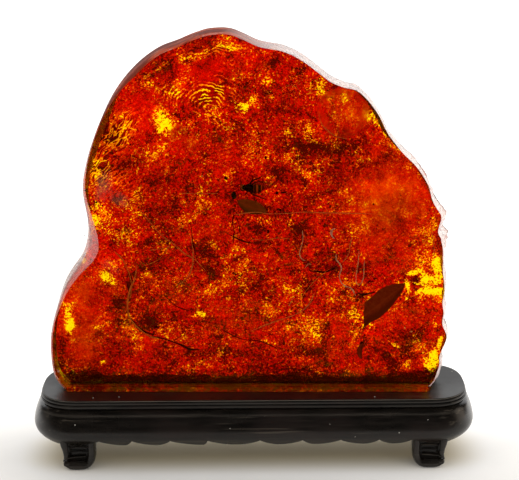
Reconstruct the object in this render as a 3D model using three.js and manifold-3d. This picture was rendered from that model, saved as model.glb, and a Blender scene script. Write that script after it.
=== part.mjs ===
// A polished slab of amber standing on a carved wooden stand. An insect, a seed and three
// scraps of leaf are sealed in the amber.
// Millimetres, +Z up, front towards -Y, origin on the surface it stands on, at the centre.

import * as THREE from 'three';
import { mergeVertices } from 'three/addons/utils/BufferGeometryUtils.js';
import Module from 'manifold-3d';

const wasm = await Module();
wasm.setup();

// Clearance between pieces that touch
const gap = 0.3;

// Top board of the stand
const boardHalfLength = 107;
const boardHalfDepth = 31;
const boardEndLength = 22;
const ovalPower = 2.7;
const boardTop = 36;
const boardThickness = 4.4;
const bedDepth = 1.2;
// Edge of the board, from its underside up: a thick bead, a groove, a thin bead, a groove, a lip
const boardEdge = [
  { grow: -1.2, drop: 4.4 },
  { grow: -0.1, drop: 4.2 },
  { grow: 0.5, drop: 3.4 },
  { grow: 0.2, drop: 2.7 },
  { grow: -0.7, drop: 2.45 },
  { grow: -0.1, drop: 2.2 },
  { grow: 0.15, drop: 1.6 },
  { grow: -0.1, drop: 1.0 },
  { grow: -0.9, drop: 0.75 },
  { grow: -0.4, drop: 0.5 },
  { grow: -0.5, drop: 0 },
];

// Bulging apron under the board
const apronTop = boardTop - boardThickness - gap;
const apronBulge = [
  { z: apronTop, grow: -0.9 },
  { z: 30, grow: 0.9 },
  { z: 27, grow: 2.5 },
  { z: 23.5, grow: 3.6 },
  { z: 20, grow: 4 },
  { z: 17.4, grow: 3.2 },
  { z: 15.5, grow: 1.7 },
  { z: 12.6, grow: -1.6 },
];
const lobeBottom = 12.6;
const cuspTop = 15.8;
const lobeSteps = 5;
const skirtThickness = 7;
const apronUnderside = 16.6;
// Cusps between the lobes of the lower edge, along the front, from the left foot to the right
const frontCusps = [-76.6, -60.4, -41.4, -22.8, 3.1, 24.2, 43.1, 62.1, 78.6];
const endCuspShares = [0.25, 0.5, 0.75];
// Hollow in the underside between the ends that carry the feet
const hollowStraight = 66;
const hollowEndLength = 9;
const hollowHalfDepth = 20;
const hollowCeiling = 27;

// One scroll foot, from the floor up: how far each level reaches from the stand's centre lines
const footLevels = [
  { z: 0, inner: 83.6, outer: 91.6, front: 29.4, back: 16.6 },
  { z: 0.8, inner: 81.6, outer: 93.6, front: 31, back: 15 },
  { z: 2.4, inner: 80, outer: 95, front: 31.8, back: 14 },
  { z: 3.8, inner: 79.4, outer: 95.2, front: 31.6, back: 13.6 },
  { z: 5.2, inner: 79.2, outer: 94.2, front: 30.2, back: 13.5 },
  { z: 6.5, inner: 79.1, outer: 95, front: 31, back: 13.5 },
  { z: 7.2, inner: 79.1, outer: 94.7, front: 30.6, back: 13.5 },
  { z: 7.9, inner: 79.1, outer: 94, front: 29.3, back: 13.5 },
  { z: 9.6, inner: 79.1, outer: 93.9, front: 29.2, back: 13.5 },
  { z: 10.2, inner: 79.1, outer: 94.1, front: 28.6, back: 13.5 },
  { z: 12.6, inner: 79.1, outer: 95.2, front: 28.4, back: 13.5 },
  { z: 18, inner: 79.1, outer: 96.2, front: 28.4, back: 13.5 },
];
const footPower = 3.4;
const footSides = 14;
const tenonFrom = 9;

// Amber slab, in its own turned frame: x along it, y through it, z above the floor
const slabTurn = -1.4;
const slabSetback = -2;
const slabFoot = boardTop - bedDepth + gap;
const bedClearance = 0.4;
const slabCentre = { x: -4, z: 118 };
const slabSides = 80;
const slabFootSteps = 10;
// Widest outline, clockwise from the lower left corner, each pair x and z
const slabOutline = [
  [-94.5, slabFoot], [-97.4, 38], [-100.3, 43], [-101.7, 53], [-101.3, 65], [-97.4, 80.5],
  [-94.5, 89], [-91.8, 94], [-84.8, 104.5], [-82.3, 114], [-82.2, 123], [-83.8, 138.5],
  [-81.3, 152], [-74.4, 171], [-66.5, 186.5], [-56, 199], [-45, 207], [-35.7, 210.6],
  [-27.5, 214], [-20.5, 216], [-10.5, 216.1], [-4, 213.7], [4, 210], [16.3, 207.4],
  [24.5, 203.4], [33.5, 196.8], [39.5, 192.3], [45.5, 189.7], [51.2, 188.2], [56, 184.2],
  [62, 176.3], [67, 166.5], [72.5, 159.5], [81.5, 150.4], [87.2, 141.5], [91, 132.5],
  [96.6, 122.8], [95.4, 117], [97.9, 113.2], [95.8, 101.5], [97.6, 88], [96.5, 81.5],
  [97.5, 74.5], [96.7, 69.3], [98.4, 63], [95.7, 53], [96, 47], [94, 39.3], [90.5, slabFoot],
];
// Levels from the flat front face to the back face: shares of the front and back insets
const slabLevels = [
  { y: -14, front: 1, back: 0 },
  { y: -13.2, front: 0.62, back: 0 },
  { y: -11, front: 0.36, back: 0 },
  { y: -5, front: 0.12, back: 0 },
  { y: 4, front: 0, back: 0 },
  { y: 9.2, front: 0, back: 0.42 },
  { y: 11.9, front: 0, back: 1 },
];
const backFaceDepth = 13.1;
const backFaceShares = [0.86, 0.6, 0.3];
const backInset = { mean: 4, wide: 1.3, narrow: 0.9 };
const backSwell = { wide: 0.9, narrow: 0.5 };
// How far the flat front face stays inside the widest outline, by the angle about the centre
const frontInset = [
  { angle: -40, inset: 4 }, { angle: -29, inset: 3.2 }, { angle: -12, inset: 2.6 },
  { angle: 4, inset: 2 }, { angle: 22, inset: 1 }, { angle: 88, inset: 0.8 },
  { angle: 104, inset: 1.6 }, { angle: 114, inset: 1.9 }, { angle: 124, inset: 3.4 },
  { angle: 132, inset: 2.4 }, { angle: 142, inset: 1.4 }, { angle: 153, inset: 1.9 },
  { angle: 162, inset: 3.2 }, { angle: 174, inset: 6 }, { angle: 180, inset: 7 },
  { angle: 188, inset: 9.2 }, { angle: 192, inset: 9 }, { angle: 197, inset: 6 },
  { angle: 202, inset: 3 }, { angle: 206, inset: 1.9 }, { angle: 222, inset: 2.6 },
];

// The slab is parted through the bed that holds the inclusions
const partingDepth = -4;
const leafThickness = 0.8;
const longLeafOutline = [
  [76.1, 90.2], [68.9, 89.4], [63.6, 87], [59.4, 83.2], [55.6, 80.2], [55.1, 76], [55.6, 72.4],
  [55.1, 66.7], [58.6, 69.7], [62.9, 72.2], [67.6, 76.3], [71.3, 81], [74.4, 85.6],
];
const ovalLeafOutline = [
  [-7.4, 132.4], [-3.6, 132.9], [0.8, 132.2], [4.6, 130.4], [7.9, 126.4], [4.4, 125.4],
  [0.2, 125.3], [-3.6, 126.8], [-6, 129.2],
];
const leafScrapOutline = [
  [56, 60], [53.6, 58.6], [52.1, 55.4], [52.7, 52.4], [54.9, 50.5], [54.6, 53], [54.9, 56.4],
];
const seed = { x: -8.8, z: 134.8, halfWidth: 1.3, halfHeight: 2, halfDepth: 1.1 };
const insectBody = [
  { x: -4.2, z: 138.6, halfLength: 1.6, halfHeight: 1.7, halfDepth: 1.4 },
  { x: -1.4, z: 138.6, halfLength: 2.2, halfHeight: 2.1, halfDepth: 1.8 },
  { x: 2.6, z: 138.3, halfLength: 3.3, halfHeight: 2.2, halfDepth: 1.8 },
];
const insectLimbs = [
  [[-1.2, 139.8], [0.4, 142.2], [3.6, 143.4], [5.2, 144.4]],
  [[-0.6, 139.6], [2.2, 141.4], [5.6, 141.5], [8.6, 140.5]],
  [[-1.4, 137.4], [0.2, 135.6], [3.4, 134.2], [7.2, 132.6]],
  [[-2, 137.2], [-2.8, 135.4], [-5.2, 134.2]],
];
const limbRadius = 0.32;
const insectWing = [[-1, 140], [3, 142], [8.4, 141.8], [10.6, 140], [8, 138.4], [2, 138.2]];
const wingThickness = 0.5;

// Solids from closed triangle meshes, for cutting and joining

function toSolid(geometry) {
  const bare = geometry.clone();
  bare.deleteAttribute('normal');
  bare.deleteAttribute('uv');
  const merged = mergeVertices(bare, 1e-4);
  return new wasm.Manifold(new wasm.Mesh({
    numProp: 3,
    vertProperties: new Float32Array(merged.attributes.position.array),
    triVerts: new Uint32Array(merged.index.array),
  }));
}

function toGeometry(solid) {
  const mesh = solid.getMesh();
  const geometry = new THREE.BufferGeometry();
  geometry.setAttribute('position', new THREE.BufferAttribute(new Float32Array(mesh.vertProperties), 3));
  geometry.setIndex(new THREE.BufferAttribute(new Uint32Array(mesh.triVerts), 1));
  return geometry;
}

function enclosedVolume(positions, triangles) {
  let six = 0;
  for (const [a, b, c] of triangles) {
    six += new THREE.Vector3().crossVectors(positions[b], positions[c]).dot(positions[a]);
  }
  return six / 6;
}

// Skin over a stack of rings with equal counts of points, closed at both ends by a fan
function loft(rings, firstCentre, lastCentre) {
  const sides = rings[0].length;
  const positions = rings.flat();
  const triangles = [];
  for (let level = 0; level + 1 < rings.length; level++) {
    for (let side = 0; side < sides; side++) {
      const next = (side + 1) % sides;
      const a = level * sides + side;
      const b = level * sides + next;
      triangles.push([a, b, b + sides], [a, b + sides, a + sides]);
    }
  }
  const first = positions.push(firstCentre) - 1;
  const last = positions.push(lastCentre) - 1;
  const lastRing = (rings.length - 1) * sides;
  for (let side = 0; side < sides; side++) {
    const next = (side + 1) % sides;
    triangles.push([first, next, side], [last, lastRing + side, lastRing + next]);
  }
  const outward = enclosedVolume(positions, triangles) > 0;
  const index = triangles.flatMap(([a, b, c]) => (outward ? [a, b, c] : [a, c, b]));
  const geometry = new THREE.BufferGeometry();
  geometry.setAttribute('position', new THREE.BufferAttribute(
    new Float32Array(positions.flatMap((point) => point.toArray())), 3));
  geometry.setIndex(index);
  return geometry;
}

function signedPower(value, power) {
  return Math.sign(value) * Math.abs(value) ** power;
}

// Stretched oval seen from above: straight long sides between two rounded ends
function boardPlan(grow, endSteps) {
  const straight = boardHalfLength - boardEndLength;
  const endLength = boardEndLength + grow;
  const halfDepth = boardHalfDepth + grow;
  const points = [];
  for (const end of [1, -1]) {
    for (let step = 0; step <= endSteps; step++) {
      const angle = (step / endSteps - 0.5) * Math.PI;
      const x = straight + endLength * Math.abs(Math.cos(angle)) ** (2 / ovalPower);
      const y = halfDepth * signedPower(Math.sin(angle), 2 / ovalPower);
      points.push(new THREE.Vector2(end * x, end * y));
    }
  }
  return points;
}

function atHeight(plan, z) {
  return plan.map((point) => new THREE.Vector3(point.x, point.y, z));
}

function interpolate(value, keys, keyName, valueName) {
  let upper = keys.findIndex((key) => key[keyName] >= value);
  if (upper < 0) {
    upper = keys.length - 1;
  }
  const lower = Math.max(upper - 1, 0);
  const span = keys[upper][keyName] - keys[lower][keyName];
  const share = span === 0 ? 0 : THREE.MathUtils.clamp((value - keys[lower][keyName]) / span, 0, 1);
  return THREE.MathUtils.lerp(keys[lower][valueName], keys[upper][valueName], share);
}

// Amber slab

const outlineCurve = new THREE.CatmullRomCurve3(
  slabOutline.map(([x, z]) => new THREE.Vector3(x, 0, z)), false, 'centripetal');

function insetAt(x, z) {
  const fromCentre = Math.atan2(z - slabCentre.z, x - slabCentre.x);
  const angle = THREE.MathUtils.euclideanModulo(THREE.MathUtils.radToDeg(fromCentre) + 90, 360) - 90;
  return interpolate(angle, frontInset, 'angle', 'inset');
}

function backInsetAt(x, z) {
  const angle = Math.atan2(z - slabCentre.z, x - slabCentre.x);
  const waves = backInset.wide * Math.sin(3 * angle + 0.7) + backInset.narrow * Math.sin(7 * angle + 2);
  return backInset.mean + waves;
}

// Moves an outline point towards the slab's centre; points of the foot stay on its plane
function movedIn(point, inset, y) {
  const dx = point.x - slabCentre.x;
  const dz = point.z - slabCentre.z;
  const share = 1 - inset / Math.hypot(dx, dz);
  const z = point.z <= slabFoot + 0.01 ? slabFoot : Math.max(slabFoot, slabCentre.z + dz * share);
  return new THREE.Vector3(slabCentre.x + dx * share, y, z);
}

function backSwellAt(x, z) {
  const wide = Math.sin(x / 17 + 0.5) * Math.cos(z / 21);
  return backSwell.wide * wide + backSwell.narrow * Math.sin(x / 9 - z / 12);
}

function slabRings() {
  const upper = outlineCurve.getSpacedPoints(slabSides - slabFootSteps);
  const foot = [];
  const left = upper[0].x;
  const right = upper[upper.length - 1].x;
  for (let step = 1; step < slabFootSteps; step++) {
    const x = THREE.MathUtils.lerp(right, left, step / slabFootSteps);
    foot.push(new THREE.Vector3(x, 0, slabFoot));
  }
  const outline = [...upper, ...foot];
  const levels = slabLevels.map(({ y, front, back }) => outline.map((point) => {
    const inset = front * insetAt(point.x, point.z) + back * backInsetAt(point.x, point.z);
    return movedIn(point, inset, y);
  }));
  const rim = levels[levels.length - 1];
  for (const share of backFaceShares) {
    levels.push(rim.map((point) => {
      const x = THREE.MathUtils.lerp(slabCentre.x, point.x, share);
      const z = THREE.MathUtils.lerp(slabCentre.z, point.z, share);
      return new THREE.Vector3(x, backFaceDepth + backSwellAt(x, z), z);
    }));
  }
  return levels;
}

const rings = slabRings();
const frontCentre = new THREE.Vector3(slabCentre.x, slabLevels[0].y, slabCentre.z);
const backCentre = new THREE.Vector3(slabCentre.x, backFaceDepth, slabCentre.z);
const slabSolid = toSolid(loft(rings, frontCentre, backCentre));

// Block in front of the parting or behind it, to keep one part of the slab
function halfSpace(side) {
  const size = 300;
  const block = new THREE.BoxGeometry(size, size, size);
  block.translate(0, partingDepth + side * (size / 2 + gap / 2), slabCentre.z);
  return toSolid(block);
}

// Inclusions: the same form gives the piece, and its pocket where grow is the clearance

// Flat scrap in the bed, cut to an outline of x and z
function flatScrap(outline, thickness, grow) {
  const shape = new THREE.Shape(outline.map(([x, z]) => new THREE.Vector2(x, z)));
  const depth = thickness + 2 * grow;
  const settings = { depth, bevelEnabled: grow > 0, bevelSize: 0, bevelOffset: grow };
  Object.assign(settings, { bevelThickness: 0.01, bevelSegments: 1, steps: 1 });
  const geometry = new THREE.ExtrudeGeometry(shape, settings);
  geometry.rotateX(Math.PI / 2);
  geometry.translate(0, partingDepth + depth / 2, 0);
  return toSolid(geometry);
}

function roundBody({ x, z, halfLength, halfHeight, halfDepth }, grow) {
  const geometry = new THREE.SphereGeometry(1, 10, 6);
  geometry.scale(halfLength + grow, halfDepth + grow, halfHeight + grow);
  geometry.translate(x, partingDepth, z);
  return toSolid(geometry);
}

function limb(points, grow) {
  const path = points.map(([x, z]) => new THREE.Vector3(x, partingDepth, z));
  const end = path[path.length - 1];
  const reach = end.clone().sub(path[path.length - 2]).setLength(grow);
  end.add(reach);
  const radius = limbRadius + grow;
  const section = new THREE.Shape();
  for (let corner = 0; corner < 6; corner++) {
    const angle = (corner / 6) * Math.PI * 2;
    const point = [radius * Math.cos(angle), radius * Math.sin(angle)];
    if (corner === 0) {
      section.moveTo(...point);
    } else {
      section.lineTo(...point);
    }
  }
  const extrudePath = new THREE.CatmullRomCurve3(path);
  const geometry = new THREE.ExtrudeGeometry(section, { steps: 6, bevelEnabled: false, extrudePath });
  return toSolid(geometry);
}

function insect(grow) {
  const body = insectBody.map((lobe) => roundBody(lobe, grow));
  const limbs = insectLimbs.map((points) => limb(points, grow));
  const wing = flatScrap(insectWing, wingThickness, grow);
  return [...body, ...limbs, wing].reduce((joined, piece) => joined.add(piece));
}

function seedBody(grow) {
  const lobe = { x: seed.x, z: seed.z, halfLength: seed.halfWidth };
  return roundBody({ ...lobe, halfHeight: seed.halfHeight, halfDepth: seed.halfDepth }, grow);
}

const inclusions = {
  leaf_long: (grow) => flatScrap(longLeafOutline, leafThickness, grow),
  leaf_oval: (grow) => flatScrap(ovalLeafOutline, leafThickness, grow),
  leaf_scrap: (grow) => flatScrap(leafScrapOutline, leafThickness, grow),
  insect,
  seed: seedBody,
};

function slabPart(side) {
  const half = slabSolid.intersect(halfSpace(side));
  return Object.values(inclusions).reduce((solid, form) => solid.subtract(form(gap)), half);
}

// Stand

// Outline of the slab's foot seen from above, in the slab's frame, for its bed in the board
function slabBed() {
  const nearFoot = rings.slice(0, slabLevels.length).map((ring) => {
    const xs = ring.flatMap((point, i) => {
      const next = ring[(i + 1) % ring.length];
      const below = point.z <= boardTop;
      const crosses = below !== next.z <= boardTop;
      const share = crosses ? (boardTop - point.z) / (next.z - point.z) : 0;
      return below || crosses ? [point.x, THREE.MathUtils.lerp(point.x, next.x, share)] : [];
    });
    const left = Math.min(...xs) - bedClearance;
    return { y: ring[0].y, left, right: Math.max(...xs) + bedClearance };
  });
  const shape = new THREE.Shape();
  nearFoot[0].y -= bedClearance;
  nearFoot[nearFoot.length - 1].y += 2 * bedClearance;
  shape.moveTo(nearFoot[0].left, nearFoot[0].y);
  nearFoot.forEach(({ right, y }) => shape.lineTo(right, y));
  nearFoot.reverse().forEach(({ left, y }) => shape.lineTo(left, y));
  const geometry = new THREE.ExtrudeGeometry(shape, { depth: bedDepth + 1, bevelEnabled: false });
  geometry.translate(0, 0, boardTop - bedDepth);
  geometry.rotateZ(THREE.MathUtils.degToRad(slabTurn));
  geometry.translate(0, slabSetback, 0);
  return toSolid(geometry);
}

function standTop() {
  const levels = boardEdge.map(({ grow, drop }) => atHeight(boardPlan(grow, 16), boardTop - drop));
  const under = new THREE.Vector3(0, 0, boardTop - boardThickness);
  const board = loft(levels, under, new THREE.Vector3(0, 0, boardTop));
  return toSolid(board).subtract(slabBed());
}

// Stations round the plan, a whole number of them to each lobe: place, outward way, edge height
function apronStations() {
  const plan = boardPlan(0, 60);
  const lengths = plan.map((point, i) => point.distanceTo(plan[(i + 1) % plan.length]));
  const period = lengths.reduce((sum, length) => sum + length);
  const straight = boardHalfLength - boardEndLength;
  const arcLength = period / 2 - 2 * straight;
  const half = [...frontCusps, ...endCuspShares.map((share) => straight + share * arcLength)];
  const cusps = [...half, ...half.map((cusp) => cusp + period / 2), half[0] + period];
  const stations = [];
  for (let lobe = 0; lobe + 1 < cusps.length; lobe++) {
    for (let step = 0; step < lobeSteps; step++) {
      const share = step / lobeSteps;
      let along = THREE.MathUtils.lerp(cusps[lobe], cusps[lobe + 1], share) - straight;
      along = THREE.MathUtils.euclideanModulo(along, period);
      let i = 0;
      while (along > lengths[i]) {
        along -= lengths[i];
        i += 1;
      }
      const next = plan[(i + 1) % plan.length];
      const place = plan[i].clone().lerp(next, along / lengths[i]);
      const way = next.clone().sub(plan[i]).normalize();
      const outward = new THREE.Vector2(way.y, -way.x);
      const edge = cuspTop - (cuspTop - lobeBottom) * Math.sin(Math.PI * share) ** 0.7;
      stations.push({ place, outward, edge });
    }
  }
  return stations;
}

const apronRising = [...apronBulge].reverse();

function apron() {
  const stations = apronStations();
  const ring = (growAt, heightAt) => stations.map((station) => {
    const point = station.place.clone().addScaledVector(station.outward, growAt(station));
    return new THREE.Vector3(point.x, point.y, heightAt(station));
  });
  const edgeGrow = ({ edge }) => interpolate(edge, apronRising, 'z', 'grow');
  const skirtGrow = () => apronBulge[apronBulge.length - 1].grow - skirtThickness;
  const levels = apronBulge.filter(({ z }) => z > cuspTop)
    .map(({ z, grow }) => ring(() => grow, () => z));
  levels.push(ring(edgeGrow, ({ edge }) => edge));
  levels.push(ring(skirtGrow, ({ edge }) => edge));
  const underside = ring(skirtGrow, () => apronUnderside);
  levels.push(underside);
  const skirt = boardHalfLength + skirtGrow();
  const endScale = hollowEndLength / (skirt - hollowStraight);
  const depthScale = hollowHalfDepth / (boardHalfDepth + skirtGrow());
  const mouth = underside.map(({ x, y }) => {
    const past = Math.max(Math.abs(x) - hollowStraight, 0);
    const inward = Math.sign(x) * past * (1 - endScale);
    return new THREE.Vector3(x - inward, y * depthScale, apronUnderside);
  });
  levels.push(mouth);
  levels.push(mouth.map(({ x, y }) => new THREE.Vector3(x, y, hollowCeiling)));
  const top = new THREE.Vector3(0, 0, apronTop);
  return toSolid(loft(levels, top, new THREE.Vector3(0, 0, hollowCeiling)));
}

// Foot on one corner: side is 1 at the right, depth is 1 at the back
function foot(side, depth, grow) {
  const levels = footLevels.filter(({ z }) => grow === 0 || z > tenonFrom);
  const stack = levels.map(({ z, inner, outer, front, back }, i) => {
    const halfWidth = (outer - inner) / 2 + grow;
    const halfReach = (front - back) / 2 + grow;
    const height = i === levels.length - 1 ? z + grow : z;
    const points = [];
    for (let corner = 0; corner < footSides; corner++) {
      const angle = ((corner + 0.5) / footSides) * Math.PI * 2;
      const x = (outer + inner) / 2 + halfWidth * signedPower(Math.cos(angle), 2 / footPower);
      const y = (front + back) / 2 + halfReach * signedPower(Math.sin(angle), 2 / footPower);
      points.push(new THREE.Vector3(side * x, depth * y, height));
    }
    return points;
  });
  const centre = (ring) => ring.reduce((sum, point) => sum.add(point), new THREE.Vector3())
    .divideScalar(ring.length);
  return toSolid(loft(stack, centre(stack[0]), centre(stack[stack.length - 1])));
}

const feet = [
  { name: 'foot_front_left', side: -1, depth: -1 },
  { name: 'foot_front_right', side: 1, depth: -1 },
  { name: 'foot_back_left', side: -1, depth: 1 },
  { name: 'foot_back_right', side: 1, depth: 1 },
];

function standApron() {
  return feet.reduce((solid, { side, depth }) => solid.subtract(foot(side, depth, gap)), apron());
}

// Materials

const amberLook = new THREE.MeshStandardMaterial({
  color: 0xb8320c, roughness: 0.08, metalness: 0, transparent: true, opacity: 0.6,
});
const leafLook = new THREE.MeshStandardMaterial({ color: 0x4a2412, roughness: 0.7, metalness: 0 });
const insectLook = new THREE.MeshStandardMaterial({ color: 0x241408, roughness: 0.6, metalness: 0 });
const woodLook = new THREE.MeshStandardMaterial({ color: 0x1d1713, roughness: 0.35, metalness: 0 });

function piece(name, solid, look) {
  const mesh = new THREE.Mesh(toGeometry(solid), look.clone());
  mesh.name = name;
  return mesh;
}

const slabGroup = new THREE.Group();
slabGroup.add(piece('amber_front', slabPart(-1), amberLook));
slabGroup.add(piece('amber_back', slabPart(1), amberLook));
for (const [name, form] of Object.entries(inclusions)) {
  const look = name.startsWith('leaf') ? leafLook : insectLook;
  slabGroup.add(piece(name, form(0), look));
}
slabGroup.rotation.z = THREE.MathUtils.degToRad(slabTurn);
slabGroup.position.y = slabSetback;

const stand = new THREE.Group();
stand.add(piece('stand_top', standTop(), woodLook));
stand.add(piece('stand_apron', standApron(), woodLook));
for (const { name, side, depth } of feet) {
  stand.add(piece(name, foot(side, depth, 0), woodLook));
}

const amberOnStand = new THREE.Group();
amberOnStand.add(slabGroup, stand);

export default amberOnStand;
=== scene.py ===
"""Looks of a polished amber slab with an insect, a seed and leaf scraps sealed in it, standing on a
carved wooden stand. Lengths are millimetres until a mesh is made, and the slab has its own turned
frame: x along it, y through it, z above the floor."""

import math

import bpy
import numpy as np
from mathutils import Matrix, Vector, noise

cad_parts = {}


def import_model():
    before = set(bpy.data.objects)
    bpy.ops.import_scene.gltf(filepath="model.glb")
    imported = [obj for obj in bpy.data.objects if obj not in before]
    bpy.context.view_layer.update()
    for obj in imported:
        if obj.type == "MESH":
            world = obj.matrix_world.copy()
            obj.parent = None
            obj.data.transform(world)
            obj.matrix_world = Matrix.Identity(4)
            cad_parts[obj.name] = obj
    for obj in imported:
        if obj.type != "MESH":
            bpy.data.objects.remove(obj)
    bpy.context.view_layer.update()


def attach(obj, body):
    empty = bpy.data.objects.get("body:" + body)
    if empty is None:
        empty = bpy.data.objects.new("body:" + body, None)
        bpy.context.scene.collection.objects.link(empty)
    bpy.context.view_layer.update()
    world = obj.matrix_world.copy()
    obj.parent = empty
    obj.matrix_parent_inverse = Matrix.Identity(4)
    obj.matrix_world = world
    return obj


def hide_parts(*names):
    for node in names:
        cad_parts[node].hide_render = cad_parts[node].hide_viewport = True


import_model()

MM = 0.001

# Slab, as the solids have it
SLAB_TURN = math.radians(-1.4)
SLAB_SETBACK = -2.0
SLAB_FOOT = 35.1
SLAB_CENTRE = (-4.0, 118.0)
FRONT_FACE = -14.0
BACK_FACE = 13.1
BED = -4.0

# Widest outline, clockwise from the lower left corner, x and z
SLAB_OUTLINE = [
    (-94.5, 35.1), (-97.4, 38), (-100.3, 43), (-101.7, 53), (-101.3, 65), (-97.4, 80.5),
    (-94.5, 89), (-91.8, 94), (-84.8, 104.5), (-82.3, 114), (-82.2, 123), (-83.8, 138.5),
    (-81.3, 152), (-74.4, 171), (-66.5, 186.5), (-56, 199), (-45, 207), (-35.7, 210.6),
    (-27.5, 214), (-20.5, 216), (-10.5, 216.1), (-4, 213.7), (4, 210), (16.3, 207.4),
    (24.5, 203.4), (33.5, 196.8), (39.5, 192.3), (45.5, 189.7), (51.2, 188.2), (56, 184.2),
    (62, 176.3), (67, 166.5), (72.5, 159.5), (81.5, 150.4), (87.2, 141.5), (91, 132.5),
    (96.6, 122.8), (95.4, 117), (97.9, 113.2), (95.8, 101.5), (97.6, 88), (96.5, 81.5),
    (97.5, 74.5), (96.7, 69.3), (98.4, 63), (95.7, 53), (96, 47), (94, 39.3), (90.5, 35.1),
]
# Inset of the flat front face from the outline, by the angle about the centre in degrees
FRONT_INSET = [
    (-40, 4.5), (-37, 4.5), (-33, 3), (-28, 2.2), (-24, 3.2), (-19, 2.4), (-16, 2.8), (-9, 1.7),
    (-6, 3), (-3, 5), (-0.6, 3.8), (2, 4.5), (4.7, 2.3), (10, 1.9), (14, 1), (25, 1), (31, 0.4),
    (48, 0.4), (60, 0.8), (88, 0.9), (104, 1.6), (114, 1.9), (124, 3.0), (132, 1.9), (142, 0.9),
    (153, 1.0), (162, 1.9), (174, 4), (180, 5.6), (188, 8.2), (192, 8.2), (197, 5.6), (202, 3),
    (206, 1.9), (222, 2.6),
]
# Sections of the edge from the front face to the back: depth, share of the front and back insets
POLISHED_EDGE = [
    (-14, 1, 0), (-13.85, 0.9, 0), (-13.2, 0.66, 0), (-11, 0.36, 0), (-5, 0.12, 0), (4, 0, 0),
    (9.2, 0, 0.42), (11.9, 0, 1),
]
BROKEN_EDGE = [
    (-14, 1, 0), (-13.9, 0.97, 0), (-13.5, 0.93, 0), (-11.6, 0.85, 0), (-4, 0.5, 0), (5, 0, 0),
    (9.8, 0, 0.3), (12.1, 0, 1),
]
# Where the edge is left as it broke, by the same angle
BROKEN_SHARE = [(-48, 0), (-38, 0.8), (-30, 1), (16, 1), (30, 0.35), (52, 0.15), (60, 0)]

# How far a film of bruises and old polish covers the edge, and how brown it is, by that angle
FILM_SHARE = [
    (-46, 0), (-38, 0.8), (-30, 1), (20, 1), (40, 0.8), (72, 0.7), (86, 0.6), (96, 0.8),
    (142, 0.8), (150, 0.4), (164, 0.24), (196, 0.22), (212, 0.2), (232, 0),
]
FILM_BROWN = [
    (-46, 0), (76, 0), (86, 0.5), (96, 1), (146, 1), (154, 0.6), (166, 0.25), (196, 0.5),
    (232, 0.5),
]

SLAB_SIDES = 620
SLAB_FOOT_SHARE = 0.17
FACE_RINGS = 22
EDGE_RINGS = 30
BACK_RINGS = 78

# Marks of the weathered back as they are seen from the front: x, z, half width, half height,
# turn in degrees, strength. Clear windows to the yellow resin under the red skin:
WINDOWS = [
    (-26, 206.5, 15, 2.4, 16, 0.5), (-8, 210.5, 11, 2.2, -10, 0.62), (-43, 173, 4.6, 7.5, 8, 0.9),
    (-44, 162, 3.2, 6, 0, 0.5), (-38, 188, 8, 4.2, 8, 0.62), (-50, 192, 5, 3, 30, 0.6),
    (7.5, 193.7, 4.6, 3, 0, 0.85), (-4, 181, 3, 2.8, 40, 0.8), (0.5, 185, 2.6, 3.4, -20, 0.7),
    (-12.9, 162, 6, 5.6, 20, 0.45), (34, 190, 3, 5.4, 0, 0.55), (45.4, 185, 2.6, 1.8, 0, 0.6),
    (58, 176, 6, 3.6, -40, 0.65), (64.5, 170, 4.4, 3, -50, 0.85), (70, 161, 3, 3, 0, 0.45),
    (90.8, 101.2, 3.8, 4.8, 0, 1.3), (90.4, 93.6, 4, 3.4, 0, 0.85), (88.4, 87.2, 7.4, 2.1, 4, 1.35),
    (76.2, 90, 1.2, 4.6, 8, 1.25), (79.8, 96.8, 4.6, 1.2, 16, 1.25), (84.6, 93.4, 2, 3.8, 0, 1.1),
    (80.6, 91, 3.6, 0.8, -14, 1.0), (75.8, 83.6, 1.3, 1.2, 0, 0.9), (80.4, 64.5, 2.8, 0.8, 40, 0.75),
    (89.6, 51.4, 3.2, 6.4, -16, 1.25), (92.6, 60.6, 1.5, 4.6, -8, 1.1), (86.2, 50, 1.6, 5, -24, 1.0),
    (5.2, 124, 7, 2.6, 0, 0.6), (19, 122.8, 3, 4, 20, 0.5), (28, 170, 2, 5, 10, 0.5),
    (-72, 95, 8, 3.6, -42, 0.6), (-86, 112, 3, 10, 10, 0.7), (-20, 112, 4, 3, 0, 0.4),
    (70.6, 58.8, 3.2, 1.2, -20, 0.7), (76.7, 49, 3.6, 1.4, -15, 0.6), (58.6, 69.4, 3.4, 4, 0, 0.62),
    (50, 74, 4, 5, 0, 0.45), (-91.3, 71, 2.6, 8.5, 6, 0.95), (-74.6, 131, 4.6, 3.6, -20, 0.6),
    (-78, 124, 3, 4, 20, 0.8), (-78, 68.6, 2.6, 1.1, 0, 0.7), (-75, 50.6, 2.6, 2.2, 40, 0.85),
    (-24.5, 75.6, 6, 2.7, 10, 0.66), (7.8, 67.6, 3.2, 2.4, 0, 0.6), (31.8, 66.8, 2.6, 8.2, 10, 0.42),
    (39.5, 63.4, 2.4, 1.6, 0, 0.5), (49.3, 48.4, 1.6, 1.4, 0, 0.6), (18, 168, 2.4, 7, 10, 0.5),
    (16, 193, 12, 6, -20, 0.22), (26, 150, 10, 3, 40, 0.2), (-70, 100, 9, 3, -30, 0.35),
    (5, 108, 9, 7, 0, 0.16), (-60, 118, 4, 12, -20, 0.22), (-10, 98, 20, 5, 10, 0.12),
    (80, 118, 16, 10, 0, 0.1), (-86, 62, 6, 4, 0, 0.4), (-46, 199, 9, 2, 34, 0.6),
    (38, 184, 4, 4, 0, 0.4), (70, 50, 13, 5, 0, 0.22), (-90, 52, 6, 8, 0, 0.22), (9, 187, 3, 3, 0, 0.5),
]
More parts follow.
